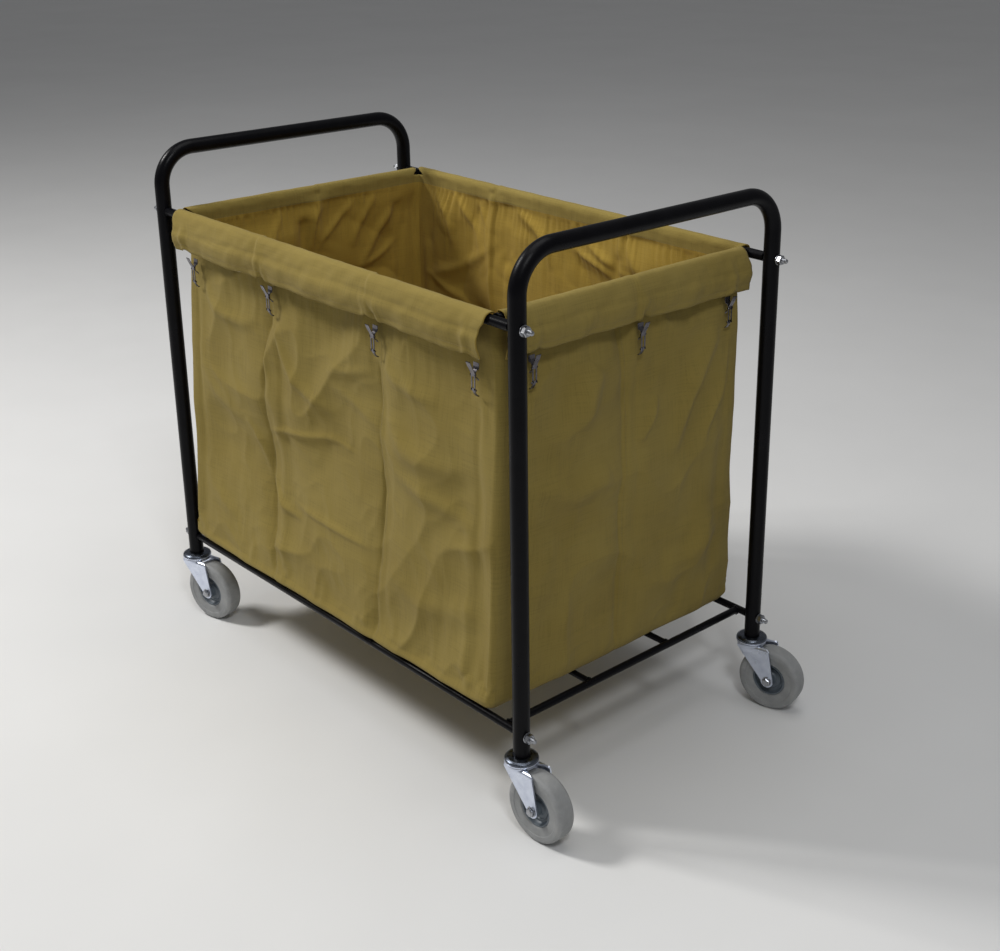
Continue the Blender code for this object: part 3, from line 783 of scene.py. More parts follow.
# Each seam in a wall runs through (place along the side, height) points, in millimetres
SEAMS = {
    "right": (
        ((-146, 757), (-146, 650), (-172, 576), (-190, 450), (-190, 350), (-168, 160)),
        ((142, 757), (137, 650), (124, 510), (130, 420), (116, 255), (108, 160)),
    ),
    "front": (
        ((4, 757), (-12, 690), (0, 545), (-10, 425), (-7, 160)),
    ),
    "left": (
        ((-172, 757), (-180, 600), (-176, 160)),
        ((150, 757), (146, 600), (150, 160)),
    ),
    "rear": (
        ((20, 757), (-8, 650), (4, 160)),
    ),
}
FOLD_GAIN = 2.0
CREASE_SEED = 1  # without one, noise.noise_vector takes its seed from the clock
# How high the gathers are just under the rim
GATHERS = {"rear": 0.0030, "right": 0.0014, "front": 0.0016, "left": 0.0030}
# Creases that packing left in the canvas: (size of a patch, height)
CRUMPLES = ((0.160, 0.0100), (0.055, 0.0015))
# Folds that the cloth keeps: half width and height in tenths of a millimetre, and then its
# (place along the side, height) points in millimetres
FOLDS = {
    "right": (
        (110, 42, (-365, 665), (-320, 622), (-240, 606), (-190, 624)),
        (150, 38, (-385, 560), (-350, 480), (-290, 440), (-230, 425)),
        (140, 26, (-400, 330), (-350, 270), (-290, 245)),
        (70, 28, (-250, 440), (-212, 395), (-190, 340)),
        (90, 45, (-135, 650), (-115, 585), (-70, 540), (10, 515)),
        (100, 34, (-160, 620), (-165, 540), (-160, 470)),
        (80, 26, (0, 585), (60, 597), (120, 612)),
        (90, 22, (10, 562), (70, 545), (120, 520)),
        (42, 32, (-188, 430), (-130, 447), (-60, 458), (0, 470), (55, 463)),
        (62, 42, (-190, 350), (-158, 316), (-95, 302)),
        (45, 32, (-110, 325), (-40, 324), (30, 322), (98, 318)),
        (100, 38, (150, 650), (170, 622), (215, 610), (275, 603)),
        (160, 46, (145, 580), (185, 522), (260, 508), (345, 522)),
        (130, 46, (160, 470), (220, 460), (290, 448), (350, 434)),
        (70, 30, (350, 640), (372, 612), (385, 570)),
        (180, 34, (150, 300), (220, 275), (300, 290), (380, 320)),
    ),
    "front": (
        (60, 72, (220, 655), (214, 600), (200, 545), (172, 495), (168, 468)),
        (120, 92, (195, 655), (165, 610), (128, 555), (100, 470)),
        (60, 52, (62, 575), (45, 540), (26, 508)),
        (160, 80, (-60, 650), (-85, 610), (-98, 560)),
        (150, 68, (-190, 500), (-110, 465), (-34, 482)),
        (170, 56, (230, 330), (150, 290), (80, 280)),
    ),
    "left": (
        (75, -36, (-345, 735), (-300, 692), (-288, 640)),
        (75, -36, (-280, 735), (-230, 684), (-215, 640)),
        (60, -26, (-222, 735), (-196, 700), (-190, 650)),
        (85, -40, (-120, 738), (-45, 702), (-14, 645)),
        (60, -34, (20, 695), (95, 676), (140, 652)),
        (60, -34, (60, 712), (125, 684), (175, 668)),
        (80, -36, (160, 735), (190, 684), (240, 650)),
        (100, -34, (-170, 660), (-280, 600), (-385, 566)),
        (80, -30, (-395, 585), (-320, 553), (-230, 530)),
        (120, 36, (330, 660), (280, 590), (200, 550)),
        (120, 30, (120, 480), (0, 440), (-100, 450)),
    ),
    "rear": (
        (85, -42, (30, 738), (0, 705), (-12, 640)),
        (65, -34, (95, 732), (50, 692), (16, 660)),
        (70, -36, (140, 735), (100, 672), (90, 640)),
        (85, -42, (205, 725), (150, 665), (105, 595)),
        (65, -30, (215, 655), (155, 616), (105, 600)),
        (65, -34, (-60, 735), (-85, 690), (-90, 650)),
        (120, 34, (-190, 640), (-120, 560), (-30, 540)),
    ),
}


def side_axis(side):
    """The axis that a side runs along, and which way it faces on the other one."""
    return (1 if side in ("front", "rear") else 0), (1.0 if side in ("front", "left") else -1.0)


def wobble(x, y, z):
    """Smooth noise, from about -1 to 1."""
    return noise.noise(Vector((x, y, z)))


def side_seed(side):
    """A number that gives each side its own noise."""
    return SIDES.index(side) + 0.5


def bell(away, width):
    return math.exp(-((away / width) ** 2))


def bells(away, width):
    """bell for an array."""
    return np.exp(-((away / width) ** 2))


def fade_in(values, width):
    """0 at 0 and 1 from width on, for an array."""
    return np.clip(values / width, 0.0, 1.0)


def first_column(side):
    return sum(CELLS[before] + CORNER_CELLS for before in SIDES[: SIDES.index(side)])


def side_columns(side):
    """The refined grid's columns that belong to a side."""
    first = first_column(side)
    return slice(first * FINER, (first + CELLS[side]) * FINER + 1)


def bag_ring(height):
    """(x, y) of every column round the bag at one height."""
    table = np.array(WALL_SHAPE)
    front_x, rear_x, half_y = (np.interp(height, table[:, 0], table[:, k]) for k in (1, 2, 3))
    ahead, behind, flat = front_x - BAG_CORNER, BAG_CORNER - rear_x, half_y - BAG_CORNER
    runs = (
        ((-rear_x, flat), (-rear_x, -flat), (behind, -flat)),
        ((behind, -half_y), (ahead, -half_y), (ahead, -flat)),
        ((front_x, -flat), (front_x, flat), (ahead, flat)),
        ((ahead, half_y), (behind, half_y), (behind, flat)),
    )
    ring = []
    for number, (start, end, centre) in enumerate(runs):
        steps = CELLS[SIDES[number]]
        ring += [tuple(Vector(start).lerp(Vector(end), i / steps)) for i in range(steps + 1)]
        ring += arc(centre, BAG_CORNER, 180 + 90 * number, 270 + 90 * number, CORNER_CELLS)[1:-1]
    return ring


def freedom(grid):
    """How freely each point of the wall may leave its cut shape: less in the corners, and not at a clip."""
    share = np.full(grid.shape[:2], CORNER_FREEDOM)
    for side in SIDES:
        columns = side_columns(side)
        axis, _ = side_axis(side)
        along = grid[:, columns, axis]
        up = grid[:, columns, 2]
        from_end = fade_in(np.abs(along[:, :1]) - np.abs(along), CORNER_REACH)
        side_share = CORNER_FREEDOM + (1.0 - CORNER_FREEDOM) * from_end**2 * (3 - 2 * from_end)
        for node in nodes_with(f"clip_{side}"):
            low, high = box_of(node)
            beyond = np.abs(up - (low.z + high.z) / 2) - (high.z - low.z) / 2
            away = np.hypot(along - middle(node)[axis], np.maximum(beyond, 0.0))
            side_share = side_share * (1.0 - bells(away, CLIP_CALM))
        share[:, columns] = side_share
    return share[:, :, None]


def cut_wall():
    """The wall as a grid of points, [row from the floor up, column round the bag, axis], before it hangs."""
    heights = np.linspace(FLOOR_Z, TOP_RAIL_Z, WALL_CELLS + 1)
    return np.array([[(x, y, height) for x, y in bag_ring(height)] for height in heights])


def grid_faces(rows, columns):
    """The faces of a grid of points whose last column joins its first."""
    faces = []
    for r in range(rows - 1):
        for c in range(columns):
            d = (c + 1) % columns
            faces.append((r * columns + c, r * columns + d, (r + 1) * columns + d, (r + 1) * columns + c))
    return faces


def hang(grid):
    """Blender's cloth on the wall: held at the rim, the floor and the clips, with slack under the rim."""
    rows, columns = grid.shape[:2]
    points = grid.reshape(-1, 3)
    ripple = [0.0012 * noise.noise(Vector(p) * 14.0) for p in points]
    start = points + normals_of(grid).reshape(-1, 3) * np.array(ripple)[:, None]
    sheet = in_scene("wall", mesh_from("wall", start, grid_faces(rows, columns)))
    pins = sheet.vertex_groups.new(name="pins")
    slack = sheet.vertex_groups.new(name="slack")
    clips = [middle(node) for node in nodes_with("clip_")]
    for index, (x, y, z) in enumerate(points):
        near_clip = any(math.hypot(clip.x - x, clip.y - y) < 0.020 for clip in clips)
        held = near_clip and abs(z - CLIP_JAW_Z) < 0.006
        if index // columns in (0, rows - 1) or held:
            pins.add([index], 1.0, "REPLACE")
        slack.add([index], smoothstep(z, 0.25, 0.66), "REPLACE")
    cloth = sheet.modifiers.new("cloth", "CLOTH")
    for name, value in CLOTH_SETTINGS.items():
        setattr(cloth.settings, name, value)
    cloth.point_cache.frame_end = HANG_FRAMES
    for number in range(1, HANG_FRAMES + 1):
        bpy.context.scene.frame_set(number)
    hung = sheet.evaluated_get(bpy.context.evaluated_depsgraph_get()).data
    result = np.empty(rows * columns * 3, np.float32)
    hung.vertices.foreach_get("co", result)
    bpy.context.scene.frame_set(1)
    bpy.data.objects.remove(sheet)
    moved = result.reshape(grid.shape) - grid
    length = np.linalg.norm(moved, axis=2, keepdims=True)
    return grid + moved * np.minimum(1.0, HANG_CAP / np.maximum(length, 1e-9))


def normals_of(grid):
    """Outward unit normals of a closed grid."""
    cross = np.cross(np.roll(grid, -1, 1) - np.roll(grid, 1, 1), np.gradient(grid, axis=0))
    return cross / np.linalg.norm(cross, axis=2, keepdims=True)


def finer(points, times, closed):
    """A smooth curve (Catmull-Rom) through points on the first axis, with that many steps between two."""
    if closed:
        rows = [np.roll(points, shift, 0) for shift in (1, 0, -1, -2)]
    else:
        padded = np.concatenate([2 * points[:1] - points[1:2], points, 2 * points[-1:] - points[-2:-1]])
        rows = [padded[k : len(padded) - 3 + k] for k in range(4)]
    a, b, c, d = rows
    steps = []
    for t in np.arange(times) / times:
        cubic = 3 * b - 3 * c + d - a
        steps.append(b + 0.5 * t * (c - a + t * (2 * a - 5 * b + 4 * c - d + t * cubic)))
    fine = np.stack(steps, 1).reshape(-1, *points.shape[1:])
    return fine if closed else np.concatenate([fine, points[-1:]])


def crumple(x, y, z):
    """Soft ridges between flat patches, all over the cloth."""
    height = 0.0
    for number, (size, rise) in enumerate(CRUMPLES):
        spot = Vector((x, y, z)) / size
        warp = noise.noise_vector(spot * 0.7 + Vector((number, 3.0, 5.0))) * 0.6
        height += rise * (0.5 - abs(noise.noise(spot + warp)) ** 0.8 * 2.0)
    return height


def refined(grid):
    """A closed grid with FINER times as many cells both ways."""
    rows = finer(grid, FINER, False)
    return np.moveaxis(finer(np.moveaxis(rows, 1, 0), FINER, True), 0, 1)


def fold_height(along, up, half_width, height, *points):
    """A kept fold: a ridge (or a valley) along a line of points, fading out at both ends."""
    half_width, height = half_width / 1e4, height / 1e4
    line = finer(np.array(points) / 1e3, 4, False)
    lengths = np.linalg.norm(np.diff(line, axis=0), axis=1)
    nearest = np.full(along.shape, 9.0)
    place = np.zeros(along.shape)
    done = 0.0
    for start, end, length in zip(line, line[1:], lengths):
        step = end - start
        share = ((along - start[0]) * step[0] + (up - start[1]) * step[1]) / length**2
        share = np.clip(share, 0.0, 1.0)
        distance = np.hypot(along - start[0] - share * step[0], up - start[1] - share * step[1])
        closer = distance < nearest
        nearest = np.where(closer, distance, nearest)
        place = np.where(closer, (done + share * length) / lengths.sum(), place)
        done += length
    fade = np.sin(np.pi * np.clip(place, 0.01, 0.99)) ** 0.7
    ridge = bells(nearest, half_width) + 0.5 * bells(nearest, 2.6 * half_width)
    return FOLD_GAIN * height * fade * ridge / 1.5


def seam_place(points, up):
    """How far along its side a seam is, at a height or at an array of heights."""
    table = np.array(sorted(points, key=lambda p: p[1])) / 1e3
    return np.interp(up, table[:, 1], table[:, 0])


def seam_height(along, up, points):
    """A sewn seam: one edge lies on the other, and the cloth swells beside it."""
    distance = along - seam_place(points, up)
    lap = 0.0013 * bells(distance, 0.012) * np.tanh(distance / 0.0016)
    valley = -0.0024 * bells(distance, 0.0050) - 0.0036 * bells(distance, 0.026)
    swell = 0.0030 * np.abs(distance) / 0.035 * np.exp(1.0 - np.abs(distance) / 0.035)
    return lap + valley + swell * (RIM_SEAM_Z > up)


def gather(along, side):
    """Uneven gathers where the wall is sewn to the rim: (height, how far down they reach)."""
    seed = side_seed(side)
    loose = 0.55 + 0.9 * wobble(along * 20.0, seed, 0.3)
    phase = along / 0.0125 + 1.6 * wobble(along * 26.0, seed, 4.1)
    reach = 0.024 + 0.070 * abs(wobble(along * 34.0, seed, 7.7))
    return GATHERS[side] * loose * math.sin(2 * math.pi * phase), reach


def add_folds(grid):
    """Gathers under the rim, seams and kept folds, along the cloth's normals."""
    push = np.zeros(grid.shape[:2])
    for side in SIDES:
        axis, _ = side_axis(side)
        columns = side_columns(side)
        along = grid[:, columns, axis]
        up = grid[:, columns, 2]
        height = sum(seam_height(along, up, points) for points in SEAMS[side])
        height = height + sum(fold_height(along, up, *fold) for fold in FOLDS[side])
        gathers = np.array([gather(place, side) for place in along[-1]])
        below = (RIM_SEAM_Z - up) / gathers[:, 1]
        fade = np.where(below > 0, np.minimum(below * 8.0, 1.0) * np.exp(-np.maximum(below, 0.0)), 0.0)
        height = height + gathers[:, 0] * fade - 0.0009 * bells(up - RIM_SEAM_Z, 0.0022)
        ends = np.minimum(np.arange(along.shape[1]), np.arange(along.shape[1])[::-1])
        push[:, columns] = height * np.minimum(1.0, ends / 8.0)
    creased = np.array([crumple(*p) for p in grid.reshape(-1, 3)]).reshape(push.shape)
    heights = grid[:, :, 2]
    push += creased * fade_in(RIM_SEAM_Z - heights, 0.05)
    free = fade_in(heights - FLOOR_Z, 0.03) * fade_in(TOP_RAIL_Z - heights, 0.012)
    return grid + normals_of(grid) * (push * free)[:, :, None]


def lengths_along(line):
    """How far along a line each of its points is."""
    return np.concatenate([[0.0], np.cumsum(np.linalg.norm(np.diff(line, axis=0), axis=1))])


def even_steps(points, step):
    """Points an even distance apart along a smooth curve, and how far along it each one is."""
    line = finer(np.array(points), 8, False)
    along = lengths_along(line)
    wanted = np.linspace(0.0, along[-1], int(round(along[-1] / step)) + 1)
    return np.stack([np.interp(wanted, along, line[:, k]) for k in (0, 1)], 1), wanted


def flap_relief(place, gone, length, side, seams, clips):
    """How far a point of a flap stands out from its even shape."""
    seed = side_seed(side)
    hung = smoothstep(gone, 0.022, length)
    relief = hung * 0.0050 * wobble(place * 9.0, seed, 0.0)
    relief += hung * 0.0044 * wobble(place * 24.0 + gone * 14.0, seed, gone * 16.0)
    relief += 0.0016 * wobble(place * 50.0 + gone * 30.0, seed, gone * 50.0)
    crease = 0.053 + 0.005 * wobble(place * 5.0, seed, 7.0)
    relief -= 0.0016 * bell(gone - crease, 0.0042)
    for clip in clips:
        relief += hung * 0.0058 * bell(place - clip, 0.0080)
        relief -= hung * 0.0020 * bell(place - clip, 0.0400)
    for seam in seams:
        away = place - seam
        relief += 0.0020 * bell(away, 0.014) * math.tanh(away / 0.0012)
        relief -= 0.0026 * hung * bell(away + 0.015 - gone * 0.32, 0.0042)
        relief += 0.0020 * hung * bell(away - 0.012 - gone * 0.16, 0.0050)
        relief -= 0.0016 * hung * bell(away - 0.030 + gone * 0.20, 0.0050)
    return relief - 0.0006 * bell(length - gone - 0.010, 0.0016)


def flap_grid(side, top_row):
    """One flap, from the wall's top row over the rail to its hem, [row, column, axis]."""
    axis, facing = side_axis(side)
    path, travelled = even_steps(FLAP_SHAPE, FLAP_STEP)
    length = travelled[-1]
    reach = np.abs(top_row[:, axis]).max()
    over, hanging = FLAP_ENDS[side]
    clips = [middle(node)[axis] for node in nodes_with(f"clip_{side}")]
    seams = [points[0][0] / 1e3 for points in SEAMS[side]]
    rows = []
    for (out, up), gone in zip(path[1:], travelled[1:]):
        end = reach + (over - reach) * smoothstep(gone, 0.0, 0.012)
        end += (hanging - over) * smoothstep(gone, 0.035, 0.05)
        row = top_row.copy()
        for column, start in enumerate(top_row[:, axis]):
            place = start * end / reach
            relief = flap_relief(place, gone, length, side, seams, clips)
            corner = smoothstep(abs(place), end - 0.035, end) * smoothstep(gone, 0.02, length)
            row[column, axis] = place
            row[column, 1 - axis] = facing * (FLAP_LINE[side] + out + relief + 0.0015 * corner)
            sag = 0.0016 * wobble(place * 6.0, out, side_seed(side) + 3.0) * smoothstep(gone, 0.03, length)
            lifted = sum(bell(place - clip - 0.003, 0.0080) for clip in clips)
            lifted *= smoothstep(gone, 0.045, length)
            row[column, 2] = TOP_RAIL_Z + up + sag + 0.0052 * lifted
        rows.append(row)
    return np.array(rows)


def floor_rings(edge):
    """The bag's floor as shrinking rings inside the wall's lowest row. It sags between the rack's rods."""
    supports = np.array([-LEG_Y, -ROD_Y, ROD_Y, LEG_Y])
    reach = np.abs(edge[:, 1]).max()
    rings = []
    for step in range(1, FLOOR_RINGS + 1):
        inset = reach * step / FLOOR_RINGS
        ring = edge.copy()
        ring[:, 0] *= 1 - inset / np.abs(edge[:, 0]).max()
        ring[:, 1] *= 1 - inset / reach
        gaps = np.abs(supports[None, :] - ring[:, 1:2]).min(axis=1)
        ripple = np.array([0.0008 * wobble(x * 9.0, y * 9.0, 2.0) for x, y, _ in ring])
        ring[:, 2] = FLOOR_Z - 0.0045 * fade_in(gaps, 0.085) ** 2 + ripple * min(step / 3, 1.0)
        rings.append(ring)
    return rings


def make_bag():
    """One sewn sheet: the floor, the hanging walls and the four flaps over the rails."""
    cut = cut_wall()
    hung = hang(cut)
    cut = refined(cut)
    grid = cut + (add_folds(refined(hung)) - cut) * freedom(cut)
    rows, columns = grid.shape[:2]
    points = [grid.reshape(-1, 3)]
    faces = grid_faces(rows, columns)
    # 1 where the wall's inner side turns outwards: the rim above its seam, and the flaps
    outside_in = [int(height > RIM_SEAM_Z) for height in cut[:-1, 0, 2] for _ in range(columns)]
    around = np.cumsum(np.linalg.norm(np.diff(grid[-1], axis=0, prepend=grid[-1][:1]), axis=1))
    threads = [np.stack([np.tile(around, rows), grid[:, :, 2].ravel(), np.zeros(rows * columns)], 1)]
    count = rows * columns
    flaps = {}
    for side in SIDES:
        own = side_columns(side)
        flap = flap_grid(side, grid[-1, own])
        flaps[side] = flap
        width = flap.shape[1]
        above = list(range((rows - 1) * columns + own.start, (rows - 1) * columns + own.stop))
        for r in range(len(flap)):
            here = list(range(count + r * width, count + (r + 1) * width))
            faces += [(above[k], above[k + 1], here[k + 1], here[k]) for k in range(width - 1)]
            outside_in += [1] * (width - 1)
            above = here
        points.append(flap.reshape(-1, 3))
        down = TOP_RAIL_Z + FLAP_STEP * np.repeat(np.arange(1, len(flap) + 1), width)
        threads.append(np.stack([np.tile(around[own], len(flap)), down, np.zeros(len(down))], 1))
        count += flap.shape[0] * width
    outer = list(range(columns))
    for ring in floor_rings(grid[0]):
        inner = list(range(count, count + columns))
        pairs = [(k, (k + 1) % columns) for k in range(columns)]
        faces += [(inner[k], inner[j], outer[j], outer[k]) for k, j in pairs]
        outside_in += [0] * columns
        points.append(ring)
        threads.append(ring * (1.0, 1.0, 0.0))
        outer = inner
        count += columns
    mesh = mesh_from("bag_cloth", np.concatenate(points), faces)
    marks = mesh.attributes.new(THREAD_MAP, "FLOAT_VECTOR", "POINT")
    marks.data.foreach_set("vector", np.concatenate(threads).ravel())
    mesh.polygons.foreach_set("material_index", outside_in)
    # The cloth's inner side gets the canvas with painted bounce light, through the shell's material offset
    for material in (CANVAS, CANVAS_PAINTED_BOUNCE, CANVAS):
        mesh.materials.append(material)
    shape = bmesh.new()
    shape.from_mesh(mesh)
    bmesh.ops.remove_doubles(shape, verts=shape.verts, dist=2e-5)
    shape.to_mesh(mesh)
    shape.free()
    bag = add_piece("bag_cloth", mesh, CANVAS, "cart", ["bag"], angle=180.0)
    shell = bag.modifiers.new("thickness", "SOLIDIFY")
    shell.thickness = CLOTH
    shell.offset = 0.0
    shell.material_offset = 1
    return bag, grid, flaps


STITCH_PITCH = 0.0042
STITCH_LENGTH = 0.0033
STITCH_RADIUS = 0.00030
STITCH_RINGS = ((-0.5, 0.25, -0.9), (-0.42, 0.8, 0.1), (0.0, 1.0, 0.45), (0.42, 0.8, 0.1), (0.5, 0.25, -0.9))


def value_at(place, gone, table):
    return Vector([np.interp(place, gone, table[:, k]) for k in range(3)])


def stitches_along(line, ups):
    """(points, faces) of the stitches along a line on the cloth. ups are the cloth's normals there."""
    gone = lengths_along(line)
    points = []
    faces = []
    for start in np.arange(STITCH_PITCH, gone[-1] - STITCH_PITCH, STITCH_PITCH):
        first, last = (value_at(at, gone, line) for at in (start, start + STITCH_LENGTH))
        up = value_at(start, gone, ups).normalized()
        along = (last - first).normalized()
        side = along.cross(up).normalized()
        centre = (first + last) / 2
        base = len(points)
        for place, thick, lift in STITCH_RINGS:
            heart = centre + along * (place * STITCH_LENGTH) + up * (lift * STITCH_RADIUS)
            for k in range(6):
                turn = math.pi * k / 3
                points.append(heart + (side * math.cos(turn) + up * math.sin(turn)) * (thick * STITCH_RADIUS))
        for ring in range(len(STITCH_RINGS) - 1):
            for k in range(6):
                j = (k + 1) % 6
                low = base + ring * 6
                faces.append((low + k, low + j, low + 6 + j, low + 6 + k))
        end = base + (len(STITCH_RINGS) - 1) * 6
        faces += [tuple(range(base + 5, base - 1, -1)), tuple(range(end, end + 6))]
    return points, faces


def row_line(grid, row, face):
    """A line along one row of a grid, on the cloth's outer (1) or inner (-1) face, with its normals."""
    across = np.gradient(grid, axis=1)[row]
    up = np.gradient(grid, axis=0)[row]
    normals = np.cross(across, up)
    normals *= face / np.linalg.norm(normals, axis=1, keepdims=True)
    return grid[row] + normals * (CLOTH / 2), normals


def seam_line(grid, side, points, shift):
    """A line up a wall beside one of its seams, on the outer face."""
    axis, _ = side_axis(side)
    own = grid[:, side_columns(side)]
    normals = normals_of(grid)[:, side_columns(side)]
    line = []
    ups = []
    for row in range(4, len(own) - 4):
        wanted = seam_place(points, own[row, 0, 2]) + shift
        column = int(np.abs(own[row, :, axis] - wanted).argmin())
        step = 1 if column + 1 < own.shape[1] else -1
        gap = own[row, column + step, axis] - own[row, column, axis]
        share = (wanted - own[row, column, axis]) / gap
        place = own[row, column] * (1 - share) + own[row, column + step] * share
        line.append(place + normals[row, column] * (CLOTH / 2))
        ups.append(normals[row, column])
    return np.array(line), np.array(ups)


def make_stitches(grid, flaps):
    """Sewing thread: round the rim's inside, along every hem and beside every seam in the walls."""
    lines = []
    rim_row = int(np.abs(grid[:, 0, 2] - RIM_SEAM_Z - 0.002).argmin())
    for side in SIDES:
        own = grid[:, side_columns(side)]
        lines.append(row_line(own, rim_row, -1.0))
        lines.append(row_line(flaps[side], len(flaps[side]) - 4, -1.0))
        lines.append(row_line(own, 2, 1.0))
        for points in SEAMS[side]:
            lines.append(seam_line(grid, side, points, 0.0042))
    points = []
    faces = []
    for line, ups in lines:
        more_points, more_faces = stitches_along(line, ups)
        faces += [tuple(index + len(points) for index in face) for face in more_faces]
        points += more_points
    mesh = mesh_from("bag_stitches", points, faces)
    return add_piece("bag_stitches", mesh, THREAD, "cart", angle=60.0)


# --- Clips ---

CLIP_WIDE = 0.0088
CLIP_PLATE = 0.0012
CLIP_BEND = 0.0016


def strip_path(points):
    """A bent strip's middle line: straight stretches with rounded bends. An open line of (out, up) points."""
    bends = zip(points, points[1:], points[2:])
    return [points[0]] + [point for trio in bends for point in eased(*trio, CLIP_BEND, 4)] + [points[-1]]


def strip_into(shape, corners, low, high):
    """A flat strip bent along a line in the (out, up) plane, from low to high across, with eased edges."""
    path = strip_path(corners)
    ease = CLIP_PLATE * 0.3
    half = CLIP_PLATE / 2
    rings = []
    for number, (out, up) in enumerate(path):
        before = Vector(path[max(number - 1, 0)])
        after = Vector(path[min(number + 1, len(path) - 1)])
        along = (after - before).normalized()
        normal = Vector((-along.y, along.x))
        outline = [(low + ease, -half), (high - ease, -half), (high, -half + ease), (high, half - ease)]
        outline += [(high - ease, half), (low + ease, half), (low, half - ease), (low, -half + ease)]
        places = [(out + normal.x * n, across, up + normal.y * n) for across, n in outline]
        rings.append([shape.verts.new(place) for place in places])
    bridge(shape, rings, False)


def pin_into(shape, out, up, half, radius):
    """A round pin across a clip, with domed heads."""
    pin = bmesh.new()
    outline = [(0.0, -half - 0.0009), (radius * 1.2, -half - 0.0007), (radius * 1.7, -half), (radius, -half)]
    lathe_into(pin, outline + [(r, -h) for r, h in reversed(outline)], 16)
    turn = Matrix.Translation((out, 0.0, up)) @ Matrix.Rotation(math.pi / 2, 4, "X")
    bmesh.ops.transform(pin, matrix=turn, verts=pin.verts)
    carried = bpy.data.meshes.new("pin")
    pin.to_mesh(carried)
    pin.free()
    shape.from_mesh(carried)
    bpy.data.meshes.remove(carried)


def clip_frame(node):
    """(matrix, height, depth): the clip's frame on the wall at its lowest point, +X away from the wall."""
    side = node.split("_")[1]
    low, high = box_of(node)
    centre = (low + high) / 2
    axis, facing = side_axis(side)
    face = low[1 - axis] if facing > 0 else high[1 - axis]
    place = Vector((face, centre.y, low.z)) if axis == 1 else Vector((centre.x, face, low.z))
    turn = {"front": 0.0, "left": 90.0, "rear": 180.0, "right": 270.0}[side]
    where = Matrix.Translation(place) @ Matrix.Rotation(math.radians(turn), 4, "Z")
    return where, high.z - low.z, (high - low)[1 - axis]


def make_clip(node):
    """A sprung clip: two long bars that the cloth is drawn between, two arms at the top and a hooked tail."""
    where, tall, deep = clip_frame(node)
    half = CLIP_WIDE / 2
    spine = deep * 0.50
    bars = [(spine, tall * 0.22), (spine, tall * 0.62)]
    foot = [(0.0012, 0.0015), (deep * 0.20, tall * 0.03), (spine * 0.86, tall * 0.16), (spine, tall * 0.24)]
    yoke = [(spine, tall * 0.20), (spine, tall * 0.27)]
    outer = [(spine, tall * 0.58), (spine + deep * 0.03, tall * 0.68), (deep * 0.80, tall * 0.86)]
    outer += [(deep * 0.95, tall * 0.99)]
    inner = [(spine, tall * 0.60), (deep * 0.36, tall * 0.70), (deep * 0.24, tall * 0.76)]
    thumb = [(deep * 0.27, tall * 0.745), (deep * 0.20, tall * 0.80), (deep * 0.19, tall * 0.92)]
    jaw = [(0.0010, tall * 0.44), (deep * 0.16, tall * 0.50), (spine, tall * 0.60)]
    shape = bmesh.new()
    strip_into(shape, bars, -half, -half + 0.0026)
    strip_into(shape, bars, half - 0.0026, half)
    for line, share in ((foot, 0.62), (yoke, 1.0), (outer, 1.0), (inner, 0.8), (thumb, 1.35), (jaw, 0.5)):
        strip_into(shape, line, -half * share, half * share)
    pin_into(shape, spine - 0.0002, tall * 0.62, half + 0.0003, 0.0011)
    pin_into(shape, spine * 0.92, tall * 0.215, half + 0.0001, 0.0010)
    add_piece(f"{node}_spring", mesh_of(shape, node), NICKEL, "cart", [node], where, 40.0)


noise.seed_set(CREASE_SEED)
bag_cloth, WALL, FLAPS = make_bag()
bag_stitches = make_stitches(WALL, FLAPS)
for clip_node in nodes_with("clip_"):
    make_clip(clip_node)


# --- Stage ---


FLOOR_HALF = 20.0
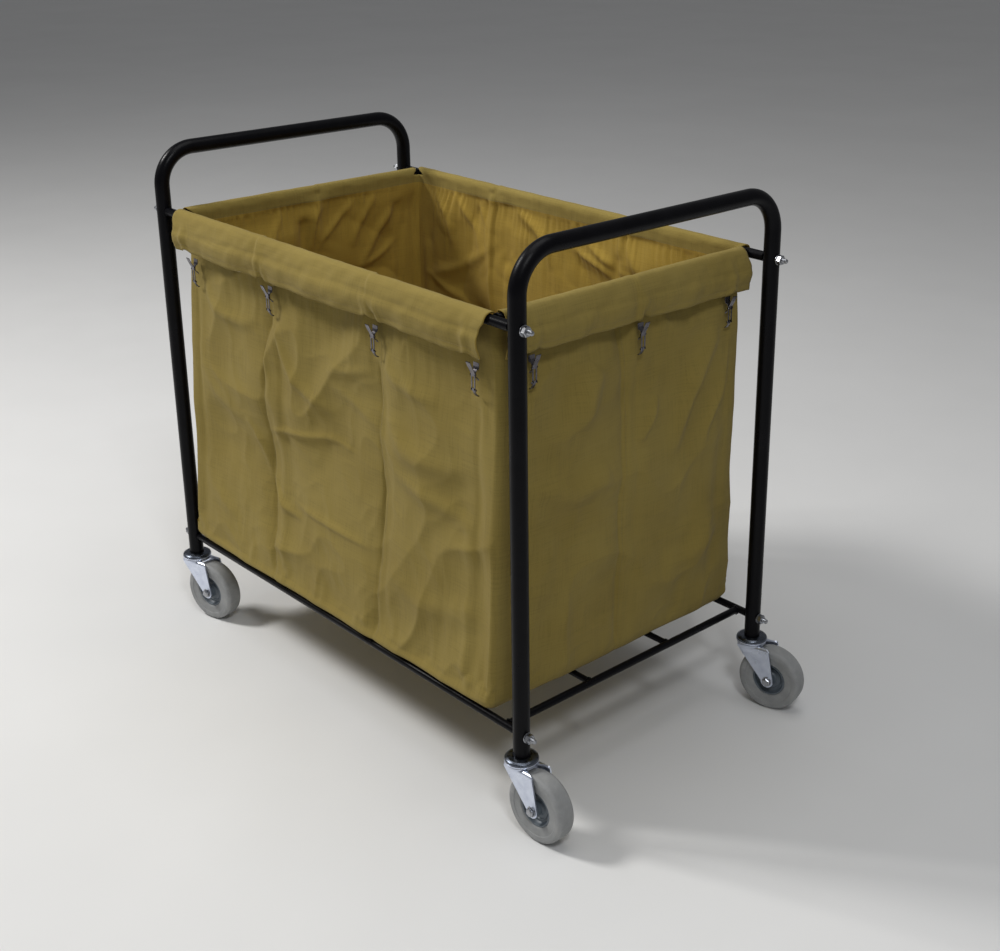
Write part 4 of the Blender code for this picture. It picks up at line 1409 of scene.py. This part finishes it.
# Each light's place, what it points at, watts, side of its square and colour
LIGHTS = {
    "key": ((-2.5, -1.9, 3.3), (0.0, 0.0, 0.4), 116.0, 0.8, (1.0, 0.985, 0.96)),
    "overhead": ((0.3, 0.0, 3.3), (0.0, 0.0, 0.5), 26.0, 2.0, (1.0, 1.0, 1.0)),
    "front_fill": ((2.5, -1.45, 3.4), (0.0, 0.0, 0.4), 34.0, 0.6, (0.96, 0.98, 1.0)),
}
SKY_COLOUR = (0.97, 0.98, 1.0, 1.0)
SKY_STRENGTH = 0.175
# The camera was fitted to the photo
CAMERA_PLACE = (1.8049, -1.4493, 1.3342)
CAMERA_DOWN = 20.75  # degrees below level
CAMERA_HEADING = 46.93
LENS_MM = 53.53
LENS_SHIFT = (-0.0588, -0.0678)


def add_light(name, place, target, energy, width, colour):
    lamp = bpy.data.lights.new(name, "AREA")
    lamp.shape = "RECTANGLE"
    lamp.size = width
    lamp.size_y = width
    lamp.energy = energy
    lamp.color = colour
    item = in_scene(name, lamp)
    item.location = Vector(place) + LEGS_MIDDLE
    item.rotation_euler = (Vector(target) - Vector(place)).to_track_quat("-Z", "Y").to_euler()


def make_stage():
    """A pale floor, soft lights and a pale sky. The floor isn't part of the cart."""
    corners = [(x * FLOOR_HALF, y * FLOOR_HALF, 0.0) for x, y in ((-1, -1), (1, -1), (1, 1), (-1, 1))]
    mesh = mesh_from("floor", corners, [(0, 1, 2, 3)])
    mesh.materials.append(floor_material())
    floor = in_scene("floor", mesh)
    for name, values in LIGHTS.items():
        add_light(name, *values)
    world = bpy.data.worlds.new("pale_sky")
    world.use_nodes = True
    sky = world.node_tree.nodes["Background"].inputs
    sky["Color"].default_value = SKY_COLOUR
    sky["Strength"].default_value = SKY_STRENGTH
    bpy.context.scene.world = world
    bpy.context.scene.view_settings.view_transform = "Standard"


def make_camera():
    lens = bpy.data.cameras.new("camera")
    lens.lens = LENS_MM
    lens.sensor_width = 36.0
    lens.shift_x, lens.shift_y = LENS_SHIFT
    camera = in_scene("camera", lens)
    camera.location = Vector(CAMERA_PLACE) + LEGS_MIDDLE
    camera.rotation_euler = (math.radians(90.0 - CAMERA_DOWN), 0.0, math.radians(CAMERA_HEADING))
    bpy.context.scene.camera = camera


make_stage()
make_camera()
